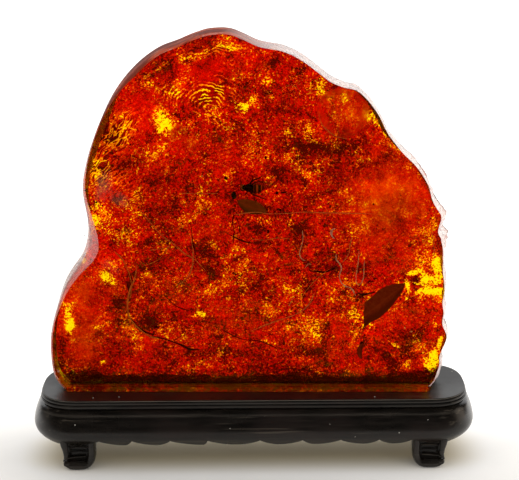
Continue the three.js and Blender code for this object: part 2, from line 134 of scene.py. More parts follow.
# Dense dark places
SHADES = [
    (33, 160, 15, 4.6, -8, 0.62), (41, 147, 7, 11, 0, 0.42), (6.2, 182, 3.2, 6, 10, 0.4),
    (-67, 82, 3.4, 3.4, 0, 0.75), (-51, 71.5, 4.2, 4, 0, 0.8), (78, 62, 7, 4.6, 20, 0.7),
    (80.4, 92.5, 2.2, 2.4, 0, 0.8), (0, 158, 7, 6, 0, 0.32), (12, 160, 7, 5, 0, 0.26),
    (-2, 92, 9, 7, 0, 0.48), (25, 90, 7, 8, 0, 0.48), (25, 78, 6, 6, 0, 0.3), (25, 132, 6, 6, 0, 0.22),
    (-18, 94, 8, 6, 0, 0.22), (38, 106, 6, 6, 0, 0.18),
    (-24, 110, 7, 4, 30, 0.45), (-18, 138, 12, 3, -10, 0.3), (24, 118, 5, 5, 0, 0.5),
    (-63, 152, 6, 3, 0, 0.4), (-6, 150, 8, 8, 0, 0.28), (2, 128, 12, 4, 0, 0.3),
    (-54, 100, 8, 5, 0, 0.25), (28, 56, 12, 3, 0, 0.35), (-20, 55, 16, 3, 6, 0.4),
    (12, 150, 5, 6, 0, 0.45), (-96, 58, 3, 10, 0, 0.35), (55, 100, 8, 2, 20, 0.4),
    (44, 134, 7, 6, 0, 0.3), (10, 47, 30, 2.6, 0, 0.3), (-60, 47, 20, 2.4, 0, 0.2),
]
# Hazy orange places with little grain
HAZES = [
    (66, 134, 22, 26, -20, 1.0), (50, 178, 13, 11, 0, 0.7), (-84, 86, 7, 7, 0, 1.0),
    (-30, 163, 4.5, 4.5, 0, 0.8), (81, 132, 7, 5.6, 0, 0.5), (-20, 118, 6, 6, 0, 0.5),
    (-50, 56, 14, 6, 0, 0.3), (82, 76, 9, 6, 0, 0.4), (-84, 62, 10, 24, 0, 0.85),
    (-72, 92, 12, 8, -40, 0.5), (74, 158, 8, 10, 0, 0.6),
]
# Even, strong red
REDS = [
    (-20, 200, 19, 6.4, 0, 1.0), (-56, 182, 9, 6, 20, 0.8), (78, 70, 12, 6, 0, 0.5),
    (-8, 146, 10, 9, 0, 0.5), (-52, 170, 5, 6, 0, 0.6),
]
# Fine crinkled skin that shows as bright lines, steep at the left and flat in the arcs
CRINKLES_LEFT = [
    (-66, 168, 9, 15, -38, 1.0), (-75, 150, 9, 11, 10, 1.0), (-66, 146, 8, 10, 0, 0.7),
    (-45, 160, 6, 10, 0, 0.4), (-56, 140, 8, 8, 0, 0.4),
]
CRINKLES_ARC = [
    (-20, 188, 12, 7, 12, 1.3), (-38, 188, 9, 5, -20, 0.8), (-12, 160, 8, 6, 0, 0.4),
    (-16, 196, 6, 4, 0, 0.6), (-20, 209, 24, 3, 6, 0.7),
]
# Point on the back that the arcs go round: x, y, z
RIPPLE_CENTRE = (-20, 13, 176)


# Sealed scraps of leaf, as x and z on the bed: upper edge and lower edge, both from the tip
LEAF_LONG = (
    [(76.1, 90.2), (68.9, 89.4), (63.6, 87), (59.4, 83.2), (55.6, 80.2)],
    [(76.1, 90.2), (74.4, 85.6), (71.3, 81), (67.6, 76.3), (62.9, 72.2), (58.6, 69.7), (55.1, 66.7)],
)
LEAF_OVAL = (
    [(-7.4, 132.4), (-3.6, 132.9), (0.8, 132.2), (4.6, 130.4), (7.9, 126.4)],
    [(-7.4, 132.4), (-6, 129.2), (-3.6, 126.8), (0.2, 125.3), (4.4, 125.4), (7.9, 126.4)],
)
LEAF_SCRAP = (
    [(56, 60), (53.6, 58.6), (52.1, 55.4), (52.7, 52.4), (54.9, 50.5)],
    [(56, 60), (54.9, 56.4), (54.6, 53), (54.9, 50.5)],
)

# Insect on the bed, head to the left: centre x and z, half length, half height, half depth
HEAD = (-4.2, 138.6, 1.6, 1.7, 1.4)
EYE = (-4.0, 138.9, 0.75, 0.95, 1.55)
THORAX = (-1.4, 138.6, 2.2, 2.1, 1.8)
ABDOMEN = (2.6, 138.3, 3.3, 2.2, 1.8)
LIMBS = [
    ([(-1.2, 139.8), (0.4, 142.2), (3.6, 143.4), (5.2, 144.4)], 0.42),
    ([(-0.6, 139.6), (2.2, 141.4), (5.6, 141.5), (8.6, 140.5)], 0.26),
    ([(-1.4, 137.4), (0.2, 135.6), (3.4, 134.2), (7.2, 132.6)], 0.38),
    ([(-2, 137.2), (-2.8, 135.4), (-5.2, 134.2)], 0.24),
    ([(-5, 139.6), (-6.2, 140.4), (-7, 140.1)], 0.16),
    ([(-4.6, 140.0), (-5.4, 141.4), (-6.6, 141.9)], 0.16),
    ([(-0.2, 136.8), (1.2, 135.9), (2.6, 136.2), (4.4, 135.3)], 0.24),
]
WINGS = [
    [(-1, 140), (3, 142), (8.4, 141.8), (10.6, 140), (8, 138.4), (2, 138.2)],
    [(-1, 139.6), (2.4, 140.6), (6.6, 140.2), (8.2, 138.9), (6, 137.6), (1.6, 137.8)],
]
SEED = (-8.8, 134.8, 1.3, 2.0, 1.1)

# Fine roots in the resin: path as seen on the front face, depth behind it, radius
PALE_ROOTS = [
    ([(41.6, 106.8), (41.4, 104.4), (44.2, 99.6), (43.2, 96.2), (43.7, 92.8), (45.9, 90.3),
      (49.2, 88.9), (51.1, 85.4)], 1.5, 0.3),
    ([(52.7, 108.3), (52.2, 101), (51.3, 94.7), (51.7, 91.3), (52.5, 90.8), (53.9, 91.8),
      (55, 94.7), (55.2, 100.5), (55.5, 103.4)], 2.2, 0.19),
    ([(24.9, 118.6), (25.2, 114.7), (24.2, 109.8), (23.5, 107.3), (24.2, 104.5), (26.9, 103)], 2, 0.24),
    ([(29.3, 101.4), (27.8, 101.5), (26.2, 99.6)], 2, 0.26),
]
BROWN_ROOTS = [
    ([(49.1, 115.1), (48.2, 110.2), (47.7, 106.8), (44.4, 102)], 3, 0.22),
    ([(-8.6, 126.5), (2, 127.7), (8.9, 126.9), (18.3, 127.2), (26.1, 127.8), (33.5, 127.4),
      (45.2, 127.2), (60.6, 126.7)], 3, 0.19),
    ([(-0.8, 114.2), (5.6, 113.7), (12.5, 114.7), (19.3, 114.2)], 4, 0.16),
    ([(-54.8, 129), (-50, 122.8), (-45.2, 116.9), (-38.8, 111.9), (-33.1, 106.8), (-29.5, 104.8),
      (-26.2, 101.8), (-23, 98)], 4, 0.26),
    ([(-30.1, 115.6), (-29, 108.1), (-29.1, 102.6), (-30.8, 96.7), (-33.3, 93.4), (-36.7, 90.8)], 4, 0.3),
    ([(-50.7, 108.5), (-45.3, 109.4), (-40.4, 110.2)], 4, 0.16),
    ([(-34.7, 137.3), (-25.6, 137.1), (-16.4, 137.2)], 4, 0.16),
    ([(31, 87), (28.5, 81.5), (25.2, 78.1), (21.1, 75.6), (15.3, 73.5), (9.1, 71.3), (-1.2, 67)], 3, 0.24),
    ([(20.7, 84.9), (19.2, 82.2), (18, 79.8)], 3, 0.26),
    ([(88.2, 118), (89.4, 111), (89.6, 104)], 4, 0.18),
    ([(38, 99), (30, 92), (24, 84)], 5, 0.16),
    ([(-56.9, 101.4), (-58, 94.6), (-60.2, 89.4), (-61.8, 82.7), (-61.5, 75.3), (-57.6, 69.5),
      (-51, 64.3), (-47, 63.4)], 5, 0.36),
    ([(-68, 108), (-64, 104), (-59.8, 92), (-60.6, 84)], 5, 0.24),
    ([(-40, 112), (-46, 104), (-52, 101)], 6, 0.2),
]
DARK_ROOTS = [
    ([(-8.6, 126.5), (-9.4, 123.3), (-8.7, 118.4), (-9.4, 111.7)], 6, 0.24),
    ([(-7.4, 125.2), (-6.3, 121), (-5.7, 116.2)], 6, 0.2),
    ([(-51, 64.3), (-45, 63.2), (-36.1, 60.1), (-31, 57.6), (-26.2, 57.5)], 7, 0.42),
    ([(-61, 74), (-56, 68), (-49, 65)], 8, 0.5),
    ([(51.9, 86.8), (54.3, 85.8), (57.3, 86.3), (60.8, 87.2)], 5, 0.5),
    ([(30, 98), (36, 97.4), (41, 99.4)], 8, 0.4),
    ([(-62, 92), (-60.5, 84)], 9, 0.24),
    ([(-16, 68), (-6, 63), (4, 61.5), (12, 58)], 12, 0.24),
    ([(-44, 86), (-38, 80), (-30, 77)], 11, 0.22),
    ([(-30, 122), (-29, 112), (-27, 103)], 9, 0.24),
    ([(-12, 117), (-4, 113), (2, 112)], 9, 0.3),
]
# Dark crumbs of bark: seen x and z, depth, half width, half height
CRUMBS = [
    (6.8, 155.2, 8, 0.5, 0.8), (-8, 130.8, 8, 0.4, 0.5), (-12.4, 145, 6, 1.1, 0.7),
    (13, 129.3, 6, 0.9, 0.5), (14, 128.8, 6, 0.5, 0.5), (12.4, 137.6, 7, 0.8, 0.7),
    (15.6, 137.6, 7, 1.3, 0.4), (54, 61, 9, 0.8, 0.5), (-48, 69, 13, 0.9, 0.6), (8, 118, 12, 0.7, 0.9),
]
PALE_CRUMBS = [
    (75.7, 68.8, 4, 0.5, 0.35), (78.7, 66.8, 4, 0.85, 0.35), (-24, 146, 5, 0.4, 0.4),
    (-97.2, 46.4, 1.0, 0.7, 0.9),
]
# Dust on the stand: x and y on the board's top, x and z on the apron's front
BOARD_DUST = [(105, 14.8), (102.4, 15.8), (-79.6, -25.3), (-66.8, -23.9), (60, -26.5), (-98, 6)]
APRON_DUST = [
    (71.7, 20.1), (13, 28.8), (5.6, 28.3), (85.9, 26.2), (-88.1, 24.9), (-36.4, 21.9), (37.6, 24.5),
    (-11.7, 22.8), (50, 18),
]
# Round flat stress marks: seen x and z, depth, radius, veil strength
DISCS = [
    (44.7, 177.3, 6, 12.6, 0.9), (18.6, 184.7, 8, 6.1, 0.6), (-35.4, 167.7, 9, 4.2, 1.1),
    (-82.5, 84.3, 15, 6.4, 0.55), (81, 132.2, 12, 6.6, 0.75), (87.5, 114.6, 13, 4.6, 0.5),
    (-46, 180, 16, 5, 0.3), (-28, 121, 18, 6, 0.25), (4, 104, 18, 8, 0.25), (60, 108, 16, 9, 0.3),
    (78, 64, 14, 7, 0.25), (66, 150, 14, 8, 0.3), (-14, 162, 16, 5, 0.35),
]
# Painted highlight arcs along one side of two stress marks: path as seen on the front face, depth, radius
PAINTED_HIGHLIGHT_ARCS = [
    ([(33, 176.5), (34.4, 171.6), (37.6, 168), (41.8, 165.2), (46.2, 164.1)], 4, 0.26),
    ([(16.6, 190.2), (19.5, 190.8), (22.4, 189.4), (24.2, 186.6)], 6, 0.18),
]
# Dull films on the front: x, z, half width, half height, turn, strength
SMUDGES = [(-72.6, 141, 5.4, 10, -12, 1.0), (-65, 134.6, 7, 4, -30, 0.8), (-70, 100, 6, 4, -40, 0.5)]
CRESCENT = ([(41.1, 119.5), (39.7, 118.9), (39.1, 117.2), (39.5, 115.5), (40.6, 114.5)], 1.4, 0.5)

# Top board, its edge from the underside up: how far it grows beyond the plan, height
BOARD_EDGE = [
    (-1.2, 31.6), (-0.1, 31.8), (0.5, 32.6), (0.2, 33.3), (-0.7, 33.55), (-0.1, 33.8),
    (0.15, 34.4), (-0.1, 35), (-0.9, 35.25), (-0.4, 35.5), (-0.45, 35.85), (-0.8, 36),
]
BOARD_TOP = 36.0
BED_FLOOR = 34.8
BED_CLEARANCE = 0.4
OVAL_POWER = 2.7
STRAIGHT = 85.0
END_LENGTH = 22.0
HALF_DEPTH = 31.0

# Apron: how far it grows beyond the plan at each height
APRON_BULGE = [
    (31.3, -0.9), (30, 0.9), (27, 2.5), (23.5, 3.6), (20, 4), (17.4, 3.2), (15.5, 1.7), (12.6, -1.6),
]
CUSP_TOP = 15.8
LOBE_BOTTOM = 12.6
SKIRT = 7.0
UNDERSIDE = 16.6
HOLLOW_CEILING = 27.0
HOLLOW_STRAIGHT = 66.0
HOLLOW_END = 9.0
HOLLOW_HALF_DEPTH = 20.0
# Cusps along the front from the left, and where the lobe after each one hangs lowest
FRONT_CUSPS = [
    (-76.6, 0.78), (-60.4, 0.66), (-41.4, 0.88), (-22.8, 0.55), (3.1, 0.45), (24.2, 0.32),
    (43.1, 0.6), (62.1, 0.45), (78.6, 0.5),
]
END_CUSP_SHARES = [0.25, 0.5, 0.75]

# Foot on one corner, from the floor up: height, inner, outer, front and back reach
FOOT_LEVELS = [
    (0, 83.6, 91.6, 29.4, 16.6), (0.8, 81.6, 93.6, 31, 15), (2.4, 80, 95, 31.6, 14),
    (3.8, 79.4, 95.2, 30.8, 13.6), (5, 79.2, 94.2, 29, 13.5), (6.5, 79.1, 94.4, 28.4, 13.5),
    (9.6, 79.1, 93.9, 28.2, 13.5), (12.6, 79.1, 95.2, 28.2, 13.5), (18, 79.1, 96.2, 28.2, 13.5),
]
# Raised scroll on the foot's face: reach to the side and height along it, half width, half depth
FOOT_BARS = [
    ([(80.9, 16), (80.8, 11), (80.9, 6.6), (82, 3.6), (84.4, 1.9), (88, 1.3), (91.6, 1.6), (94, 3)],
     [1.7, 1.7, 1.7, 1.6, 1.3, 1.0, 0.9, 0.7], 1.8),
    ([(94.6, 17.5), (94.2, 13), (93.6, 10), (93.3, 7.4), (93.9, 5.6)], [2.4, 1.9, 1.5, 1.4, 0.8], 1.5),
    ([(83.4, 7.3), (86, 7.2), (89.5, 6.8), (92.8, 6.2), (94.7, 4.8)], [0.35, 0.5, 0.55, 0.5, 0.4], 1.5),
    ([(83, 11.6), (87, 11.8), (91.6, 11.5)], [0.35, 0.45, 0.35], 0.5),
    ([(83, 9.5), (87, 9.6), (91.6, 9.4)], [0.3, 0.4, 0.3], 0.4),
    ([(84.6, 4.6), (88, 4.3), (92, 4.2)], [0.3, 0.5, 0.35], 0.8),
]
FOOT_FACE = 29.4

# What shows through the resin: the eye's x, and how far a thing spreads and sinks with its depth
EYE_X = 3.5
SPREAD = 0.00067
SINK = 0.148
# A point of the back is seen at this share of its distance from the eye's x, and this much higher
BACK_SHARE = 0.982
BACK_RISE = 4.0

BACK_MARKS = {
    "windows": WINDOWS,
    "shades": SHADES,
    "haze": HAZES,
    "reds": REDS,
    "crinkle_left": CRINKLES_LEFT,
    "crinkle_arc": CRINKLES_ARC,
}


# Films on the edge and the front: how far each side of one lies off the resin
FILM_SIDES = (0.09, 0.03)
SMUDGE_LIFT = 0.12
SHARP_ANGLE = math.radians(50)

# Sealed things: the midrib's place across a leaf, half thicknesses, and the dust of bark
MIDRIB = 0.52
LEAF_HALF = 0.17
WING_HALF = 0.12
BARK_DUST_COUNT = 150
BARK_DUST_SEED = 11
# Points round a stress mark and round a smudge
DISC_SIDES = 64
SMUDGE_SIDES = 40

# Stand: samples of a lobe and how full its curve is, the foot's section and its scroll's tip
LOBE_STEPS = 25
LOBE_FULLNESS = 0.85
FOOT_SIDES = 56
FOOT_POWER = 3.4
SCROLL_TIP = (92.9, 29.6, 3.2)
SCROLL_TIP_RADII = (1.9, 1.7, 1.7)


# Curves, noise and meshes


def unit(vectors):
    return vectors / np.linalg.norm(vectors, axis=-1)[..., None]


def lengths(points):
    """Length along a polyline at each of its points."""
    return np.concatenate([[0], np.cumsum(np.linalg.norm(np.diff(points, axis=0), axis=1))])


def catmull_rom(points, steps):
    """Centripetal Catmull-Rom curve through open points, steps samples to each stretch."""
    points = np.asarray(points, float)
    knots = np.vstack([2 * points[0] - points[1], points, 2 * points[-1] - points[-2]])
    samples = []
    for i in range(len(points) - 1):
        p = knots[i : i + 4]
        gaps = [max(np.linalg.norm(b - a), 1e-6) ** 0.5 for a, b in zip(p, p[1:])]
        times = np.cumsum([0.0, *gaps])
        t = np.linspace(times[1], times[2], steps, endpoint=False)[:, None]

        def between(a, b, start, stop):
            whole = times[stop] - times[start]
            return (times[stop] - t) / whole * a + (t - times[start]) / whole * b

        a1, a2, a3 = (between(p[k], p[k + 1], k, k + 1) for k in range(3))
        samples.append(between(between(a1, a2, 0, 2), between(a2, a3, 1, 3), 1, 2))
    return np.vstack([*samples, points[-1:]])


def evenly(points, count):
    """The polyline's points at even spacing, both ends included."""
    along = lengths(points)
    wanted = np.linspace(0, along[-1], count)
    return np.column_stack([np.interp(wanted, along, points[:, k]) for k in range(points.shape[1])])


def smooth_steps(value, low, high):
    share = np.clip((value - low) / (high - low), 0, 1)
    return share * share * (3 - 2 * share)


def bell(value, width):
    return np.exp(-((value / width) ** 2))


def noise_at(points, size, seed, octaves):
    """Smooth noise of about -1 to 1 at each point, with features of that size."""
    shift = Vector((seed * 17.3, seed * 7.1, seed * 3.7))
    return np.array([noise.fractal(Vector(p) / size + shift, 0.9, 2.1, octaves) for p in points])


def ridges_at(points, size):
    shift = Vector((23.8, 10.6, 5.8))
    ridged = noise.ridged_multi_fractal
    return np.array([ridged(Vector(p) / size + shift, 0.9, 2.1, 3, 0.9, 2.0) for p in points])


def new_piece(name, shape, material, in_slab=True):
    """Piece from points and faces; one of the slab gets the slab's own turn and place."""
    points, faces = shape
    mesh = bpy.data.meshes.new(name)
    mesh.from_pydata((np.asarray(points, float) * MM).tolist(), [], faces)
    mesh.polygons.foreach_set("use_smooth", [True] * len(mesh.polygons))
    mesh.materials.append(material)
    piece = bpy.data.objects.new(name, mesh)
    bpy.context.scene.collection.objects.link(piece)
    if in_slab:
        turn = Matrix.Rotation(SLAB_TURN, 4, "Z")
        piece.matrix_world = Matrix.Translation((0, SLAB_SETBACK * MM, 0)) @ turn
    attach(piece, "root")
    return piece


def paint(piece, **layers):
    """Values on the piece's points, which its material reads by their names."""
    for name, values in layers.items():
        attribute = piece.data.attributes.new(name, "FLOAT", "POINT")
        attribute.data.foreach_set("value", np.asarray(values, np.float32))


def loft(rings, centres=None, back_open=False):
    """Skin over rings of equal counts, with fans at both ends round their means or the centres."""
    sides = len(rings[0])
    last = (len(rings) - 1) * sides
    count = last + sides
    pairs = [(side, (side + 1) % sides) for side in range(sides)]
    faces = []
    for low in range(0, last, sides):
        faces += [(low + a, low + b, low + sides + b, low + sides + a) for a, b in pairs]
    faces += [(count, b, a) for a, b in pairs]
    if centres is None:
        centres = [np.mean(rings[0], axis=0), np.mean(rings[-1], axis=0)]
    if back_open:
        return np.vstack([*rings, centres[0]]), faces
    faces += [(count + 1, last + a, last + b) for a, b in pairs]
    return np.vstack([*rings, *centres]), faces


def outward(shape):
    """The shape, with its faces turned round if they point inward."""
    points, faces = shape
    fans = [(face[0], *face[j : j + 2]) for face in faces for j in range(1, len(face) - 1)]
    a, b, c = np.moveaxis(points[np.array(fans)], 1, 0)
    if np.sum(a * np.cross(b, c)) < 0:
        faces = [face[::-1] for face in faces]
    return points, faces


def joined(shapes):
    points, faces, count = [], [], 0
    for part_points, part_faces in shapes:
        faces += [tuple(count + i for i in face) for face in part_faces]
        points.append(part_points)
        count += len(part_points)
    return np.vstack(points), faces


def sheet_faces(rows, columns):
    """Faces of a closed sheet: an outer grid, an inner grid after it, and the strip between."""
    count = rows * columns
    faces = []
    for a in (r * columns + c for r in range(rows - 1) for c in range(columns - 1)):
        b = a + columns
        faces.append((a, a + 1, b + 1, b))
        faces.append((count + a, count + b, count + b + 1, count + a + 1))
    border = [r * columns for r in range(rows)]
    border += [(rows - 1) * columns + c for c in range(1, columns)]
    border += [r * columns + columns - 1 for r in range(rows - 2, -1, -1)]
    border += range(columns - 2, 0, -1)
    return faces + [(a, b, count + b, count + a) for a, b in zip(border, border[1:] + border[:1])]


def tube(path, radii, deep=None, sides=8, steps=8):
    """Closed round thread along a path of x, y, z; deep is its half size through y if not round."""
    smooth = catmull_rom(path, steps)
    radii = np.interp(np.linspace(0, 1, len(smooth)), np.linspace(0, 1, len(radii)), radii)
    way = unit(np.gradient(smooth, axis=0))
    across = unit(np.cross(way, [0, 1, 0]))
    turn = np.linspace(0, 2 * math.pi, sides, endpoint=False)[:, None]
    rings = []
    for centre, side, up, radius in zip(smooth, across, np.cross(across, way), radii):
        height = radius if deep is None else deep
        rings.append(centre + np.cos(turn) * side * radius + np.sin(turn) * up * height)
    return outward(loft(rings))


def ball(centre, radii, rows, sides):
    """Ellipsoid with its pole along x."""
    turn = np.linspace(0, 2 * math.pi, sides, endpoint=False)
    rings = []
    for angle in np.linspace(0, math.pi, rows + 2)[1:-1]:
        x, wide = np.full(sides, -math.cos(angle)), math.sin(angle)
        rings.append(np.column_stack([x, wide * np.cos(turn), wide * np.sin(turn)]) * radii + centre)
    return outward(loft(rings))


def crumb(centre, half_width, half_height, seed):
    """Small flat uneven flake."""
    radii = half_width, min(half_width, half_height) * 0.5, half_height
    points, faces = ball(centre, radii, 8, 12)
    dents = noise_at(points - centre, max(half_width, half_height) * 1.1, seed, 2)
    return centre + (points - centre) * (1 + 0.55 * dents)[:, None], faces


# Shader nodes


class Value:
    """A value in a material. Its sums and products make the nodes for them."""

    def __init__(self, shader, socket):
        self.shader = shader
        self.socket = socket

    def __add__(self, other):
        return self.shader.math("ADD", self, other)

    def __sub__(self, other):
        return self.shader.math("SUBTRACT", self, other)

    def __rsub__(self, other):
        return self.shader.math("SUBTRACT", other, self)

    def __mul__(self, other):
        return self.shader.math("MULTIPLY", self, other)

    __radd__ = __add__
    __rmul__ = __mul__


class Shader:
    """A material's node tree, with short calls for the nodes that it is made of."""

    def __init__(self, name):
        self.material = bpy.data.materials.new(name)
        self.material.use_nodes = True
        self.tree = self.material.node_tree
        self.tree.nodes.clear()
        self.output = self.tree.nodes.new("ShaderNodeOutputMaterial")
        self.surface = self.tree.nodes.new("ShaderNodeBsdfPrincipled")
        self.tree.links.new(self.surface.outputs[0], self.output.inputs["Surface"])
        self.place = self.node("ShaderNodeTexCoord", output="Object")

    def set(self, target, value):
        """Link a value to a socket, or set a number, a vector or a colour of three on it."""
        if isinstance(value, Value):
            self.tree.links.new(value.socket, target)
        else:
            target.default_value = (*value, 1) if target.type == "RGBA" else value

    def node(self, kind, inputs=(), output=0, **settings):
        made = self.tree.nodes.new(kind)
        for key, value in settings.items():
            setattr(made, key, value)
        for key, value in dict(inputs).items():
            self.set(made.inputs[key], value)
        return Value(self, made.outputs[output])

    def painted(self, *names):
        kind = "ShaderNodeAttribute"
        found = [self.node(kind, output="Fac", attribute_name=name) for name in names]
        return found if len(names) > 1 else found[0]

    def math(self, operation, a, b=0.0):
        return self.node("ShaderNodeMath", {0: a, 1: b}, operation=operation)

    def larger(self, a, b):
        return self.math("MAXIMUM", a, b)

    def vector(self, operation, a, b):
        return self.node("ShaderNodeVectorMath", {0: a, 1: b}, operation=operation)

    def stretched(self, place, scale, turn=0.0):
        """The place scaled and then turned about y, in degrees."""
        inputs = {"Vector": place, "Scale": scale, "Rotation": (0, math.radians(turn), 0)}
        return self.node("ShaderNodeMapping", inputs)

    def noise(self, place, size, detail=2.0, roughness=0.5, distortion=0.0, output=0):
        """Noise with features of that size in millimetres."""
        inputs = {"Vector": place, "Scale": 1 / (size * MM), "Detail": detail}
        inputs |= {"Roughness": roughness, "Distortion": distortion}
        return self.node("ShaderNodeTexNoise", inputs, output)

    def span(self, value, low, high, to_low=0.0, to_high=1.0):
        """The value eased from one range into another, and clipped to it."""
        inputs = {"Value": value, "From Min": low, "From Max": high}
        inputs |= {"To Min": to_low, "To Max": to_high}
        return self.node("ShaderNodeMapRange", inputs, interpolation_type="SMOOTHSTEP")

    def line(self, value, level, width, solid=0.3, strength=1.0):
        """Strong where the value is at the level, and nothing that width away from it."""
        distance = self.math("ABSOLUTE", value - level)
        return self.span(distance, solid * width, width, strength, 0.0)

    def ramp(self, value, stops):
        made = self.node("ShaderNodeValToRGB", {"Fac": value})
        elements = made.socket.node.color_ramp.elements
        while len(elements) < len(stops):
            elements.new(1.0)
        for element, (place, colour) in zip(elements, stops):
            element.position = place
            element.color = (*colour, 1)
        return made

    def mix(self, share, a, b):
        return self.node("ShaderNodeMix", {0: share, 6: a, 7: b}, 2, data_type="RGBA")

    def bump(self, height, strength, distance):
        inputs = {"Height": height, "Strength": strength, "Distance": distance * MM}
        return self.node("ShaderNodeBump", inputs)

    def finish(self, **inputs):
        for name, value in inputs.items():
            self.set(self.surface.inputs[name.replace("_", " ")], value)
        return self.material


# Amber

CLEAR = (0.985, 0.975, 0.95)
WALL_TINT = (0.92, 0.74, 0.66)
WALL_STREAK = (0.5, 0.2, 0.14)
FROST = (0.99, 0.95, 0.93)
SKIN_HUES = [
    (0.0, (0.8, 0.0006, 0.003)),
    (0.3, (0.8, 0.003, 0.003)),
    (0.46, (0.84, 0.014, 0.003)),
    (0.58, (0.88, 0.05, 0.003)),
    (0.7, (0.94, 0.18, 0.004)),
    (0.82, (0.98, 0.42, 0.005)),
    (1.0, (1.0, 0.8, 0.02)),
]
RESIN_IOR = 1.54
WARP = (0.009, 0.009, 0.009)
RIPPLE_SPACING = 1.75
RESIN_BODY = {"Color": (0.992, 0.93, 0.0), "Density": 135.0}


def tint(colour):
    """Base colour whose tint at one crossing of the surface is this colour."""
    return tuple(channel * channel for channel in colour)


def fine_lines(shader, place, turn, across, along, width, wander=0.4):
    """Thin bright lines of a crinkled skin; along is the reach of one line before it wanders."""
    turned = shader.stretched(place, (1, 1, 1), turn)
    drawn = shader.stretched(turned, (across / along, 1.2, 1))
    return shader.line(shader.noise(drawn, across, 1.5, 0.5, wander), 0.5, width)


def ripples(shader, centre, spacing, width):
    """Broken bright arcs round a point of the back, like those of a thumbprint."""
    offset = shader.vector("SUBTRACT", shader.place, tuple(value * MM for value in centre))
    flat = shader.vector("MULTIPLY", offset, (0.8, 0.0, 1.0))
    reach = shader.node("ShaderNodeVectorMath", {0: flat}, "Value", operation="LENGTH")
    drift = (shader.noise(shader.place, 8, 3, 0.6) - 0.5) * (7 * MM)
    phase = shader.math("FRACT", (reach + drift) * (1 / (spacing * MM)))
    breaks = shader.span(shader.noise(shader.place, 3.5), 0.4, 0.5, 0.2, 1.0)
    return shader.line(phase, 0.5, width) * breaks


def amber_material():
    """Clear resin with a clean front. The skin of the back tints the light that crosses it."""
    shader = Shader("amber_resin")
    place = shader.place
    skin, broken, wall, windows, shades = shader.painted("skin", "broken", "wall", "windows", "shades")
    haze, reds, left, arcs = shader.painted("haze", "reds", "crinkle_left", "crinkle_arc")
    warp = shader.vector("SUBTRACT", shader.noise(place, 12, output="Color"), (0.5, 0.5, 0.5))
    warped = shader.vector("ADD", place, shader.vector("MULTIPLY", warp, WARP))

    def layer(size, detail, roughness, *shift):
        """Noise about zero, shifted so that the layers don't agree."""
        return shader.noise(shader.vector("ADD", warped, shift), size, detail, roughness) - 0.5

    shadows = layer(26, 4, 0.8, 0, 0, 0)
    hues = layer(18, 4, 0.8, 0.31, 0.17, 0.05)
    clumps = layer(11, 3, 0.6, 0.1, 0.4, 0.2)
    blots = layer(7, 3, 0.65, 0.7, 0.1, 0.4)
    shreds = layer(3, 3, 0.7, 0.2, 0.6, 0.9)
    grain = shader.noise(place, 1.2, 1, 0.7) - 0.5
    dust = shader.noise(place, 0.75, 1, 0.6, output="Color")
    bright_dust = shader.node("ShaderNodeSeparateColor", {0: dust}, 0)
    dark_dust = shader.node("ShaderNodeSeparateColor", {0: dust}, 1)

    lined = shader.larger(0.7 * left, 0.9 * arcs)
    smooth = shader.larger(haze, shader.larger(0.5 * reds, lined))
    rough_share = 1 - 0.75 * smooth
    speckle = grain * rough_share
    blot = shader.span(blots, 0, 0.18) * rough_share
    squiggles = fine_lines(shader, warped, 20, 1.2, 2.2, 0.11)
    squiggles = squiggles * shader.span(clumps + 0.2 * windows, 0.02, 0.16) * rough_share
    fleck = shader.span(bright_dust + 0.26 * clumps + 0.12 * windows, 0.625, 0.68) * rough_share
    pit = shader.span(dark_dust + 0.5 * blots, 0.6, 0.7) * rough_share
    crinkles = fine_lines(shader, warped, 44, 1.5, 8, 0.1, 0.25) * left
    drawn = shader.larger(crinkles, ripples(shader, RIPPLE_CENTRE, RIPPLE_SPACING, 0.3) * arcs)
    gaps = shader.larger(shader.larger(left, 0.9 * arcs) - drawn, 0)
    ragged = windows * (1 + 3.4 * shreds + 1.6 * grain) + 0.5 * clumps + 0.7 * blots
    cracks = fine_lines(shader, warped, 62, 1.3, 3.5, 0.14)
    window = shader.span(ragged, 0.32, 0.95) * (0.78 + 0.4 * cracks)

    value = 0.405 + 1.45 * shadows + 1.1 * speckle - 0.25 * blot + 0.42 * window
    value = value + 0.28 * squiggles + 0.32 * fleck - 0.3 * pit + 0.42 * drawn - 0.22 * gaps
    value = value - 0.6 * shades + 0.1 * reds + 0.05 * haze
    value = shader.math("MINIMUM", shader.larger(value, 0.05), 1)
    hue = 0.235 + 0.54 * hues + 0.3 * (value - 0.5) + 0.5 * speckle + 0.45 * window
    hue = hue + 0.34 * squiggles + 0.4 * fleck + 0.5 * drawn + 0.33 * haze - 0.14 * reds
    skin_tint = shader.ramp(hue, [(at, tint(colour)) for at, colour in SKIN_HUES])
    scaled = {0: skin_tint, "Scale": value * value}
    skin_tint = shader.node("ShaderNodeVectorMath", scaled, operation="SCALE")
    streaks = shader.noise(shader.stretched(place, (0.1, 1.2, 0.1)), 3, 3, 0.6)
    wall_tint = shader.mix(shader.span(streaks, 0.48, 0.62), tint(WALL_TINT), tint(WALL_STREAK))
    colour = shader.mix(wall, tint(CLEAR), wall_tint)
    colour = shader.mix(0.8 * broken, colour, tint(FROST))
    colour = shader.mix(skin, colour, skin_tint)
    relief = (1 + 1.5 * clumps + 0.5 * grain + 0.4 * drawn) * shader.larger(skin, broken)
    body = shader.node("ShaderNodeVolumeAbsorption", RESIN_BODY)
    shader.set(shader.output.inputs["Volume"], body)
    return shader.finish(
        Base_Color=colour,
        Roughness=0.2 * skin + 0.3 * broken + 0.015,
        IOR=RESIN_IOR,
        Transmission_Weight=1,
        Normal=shader.bump(relief, 0.5, 0.5),
    )


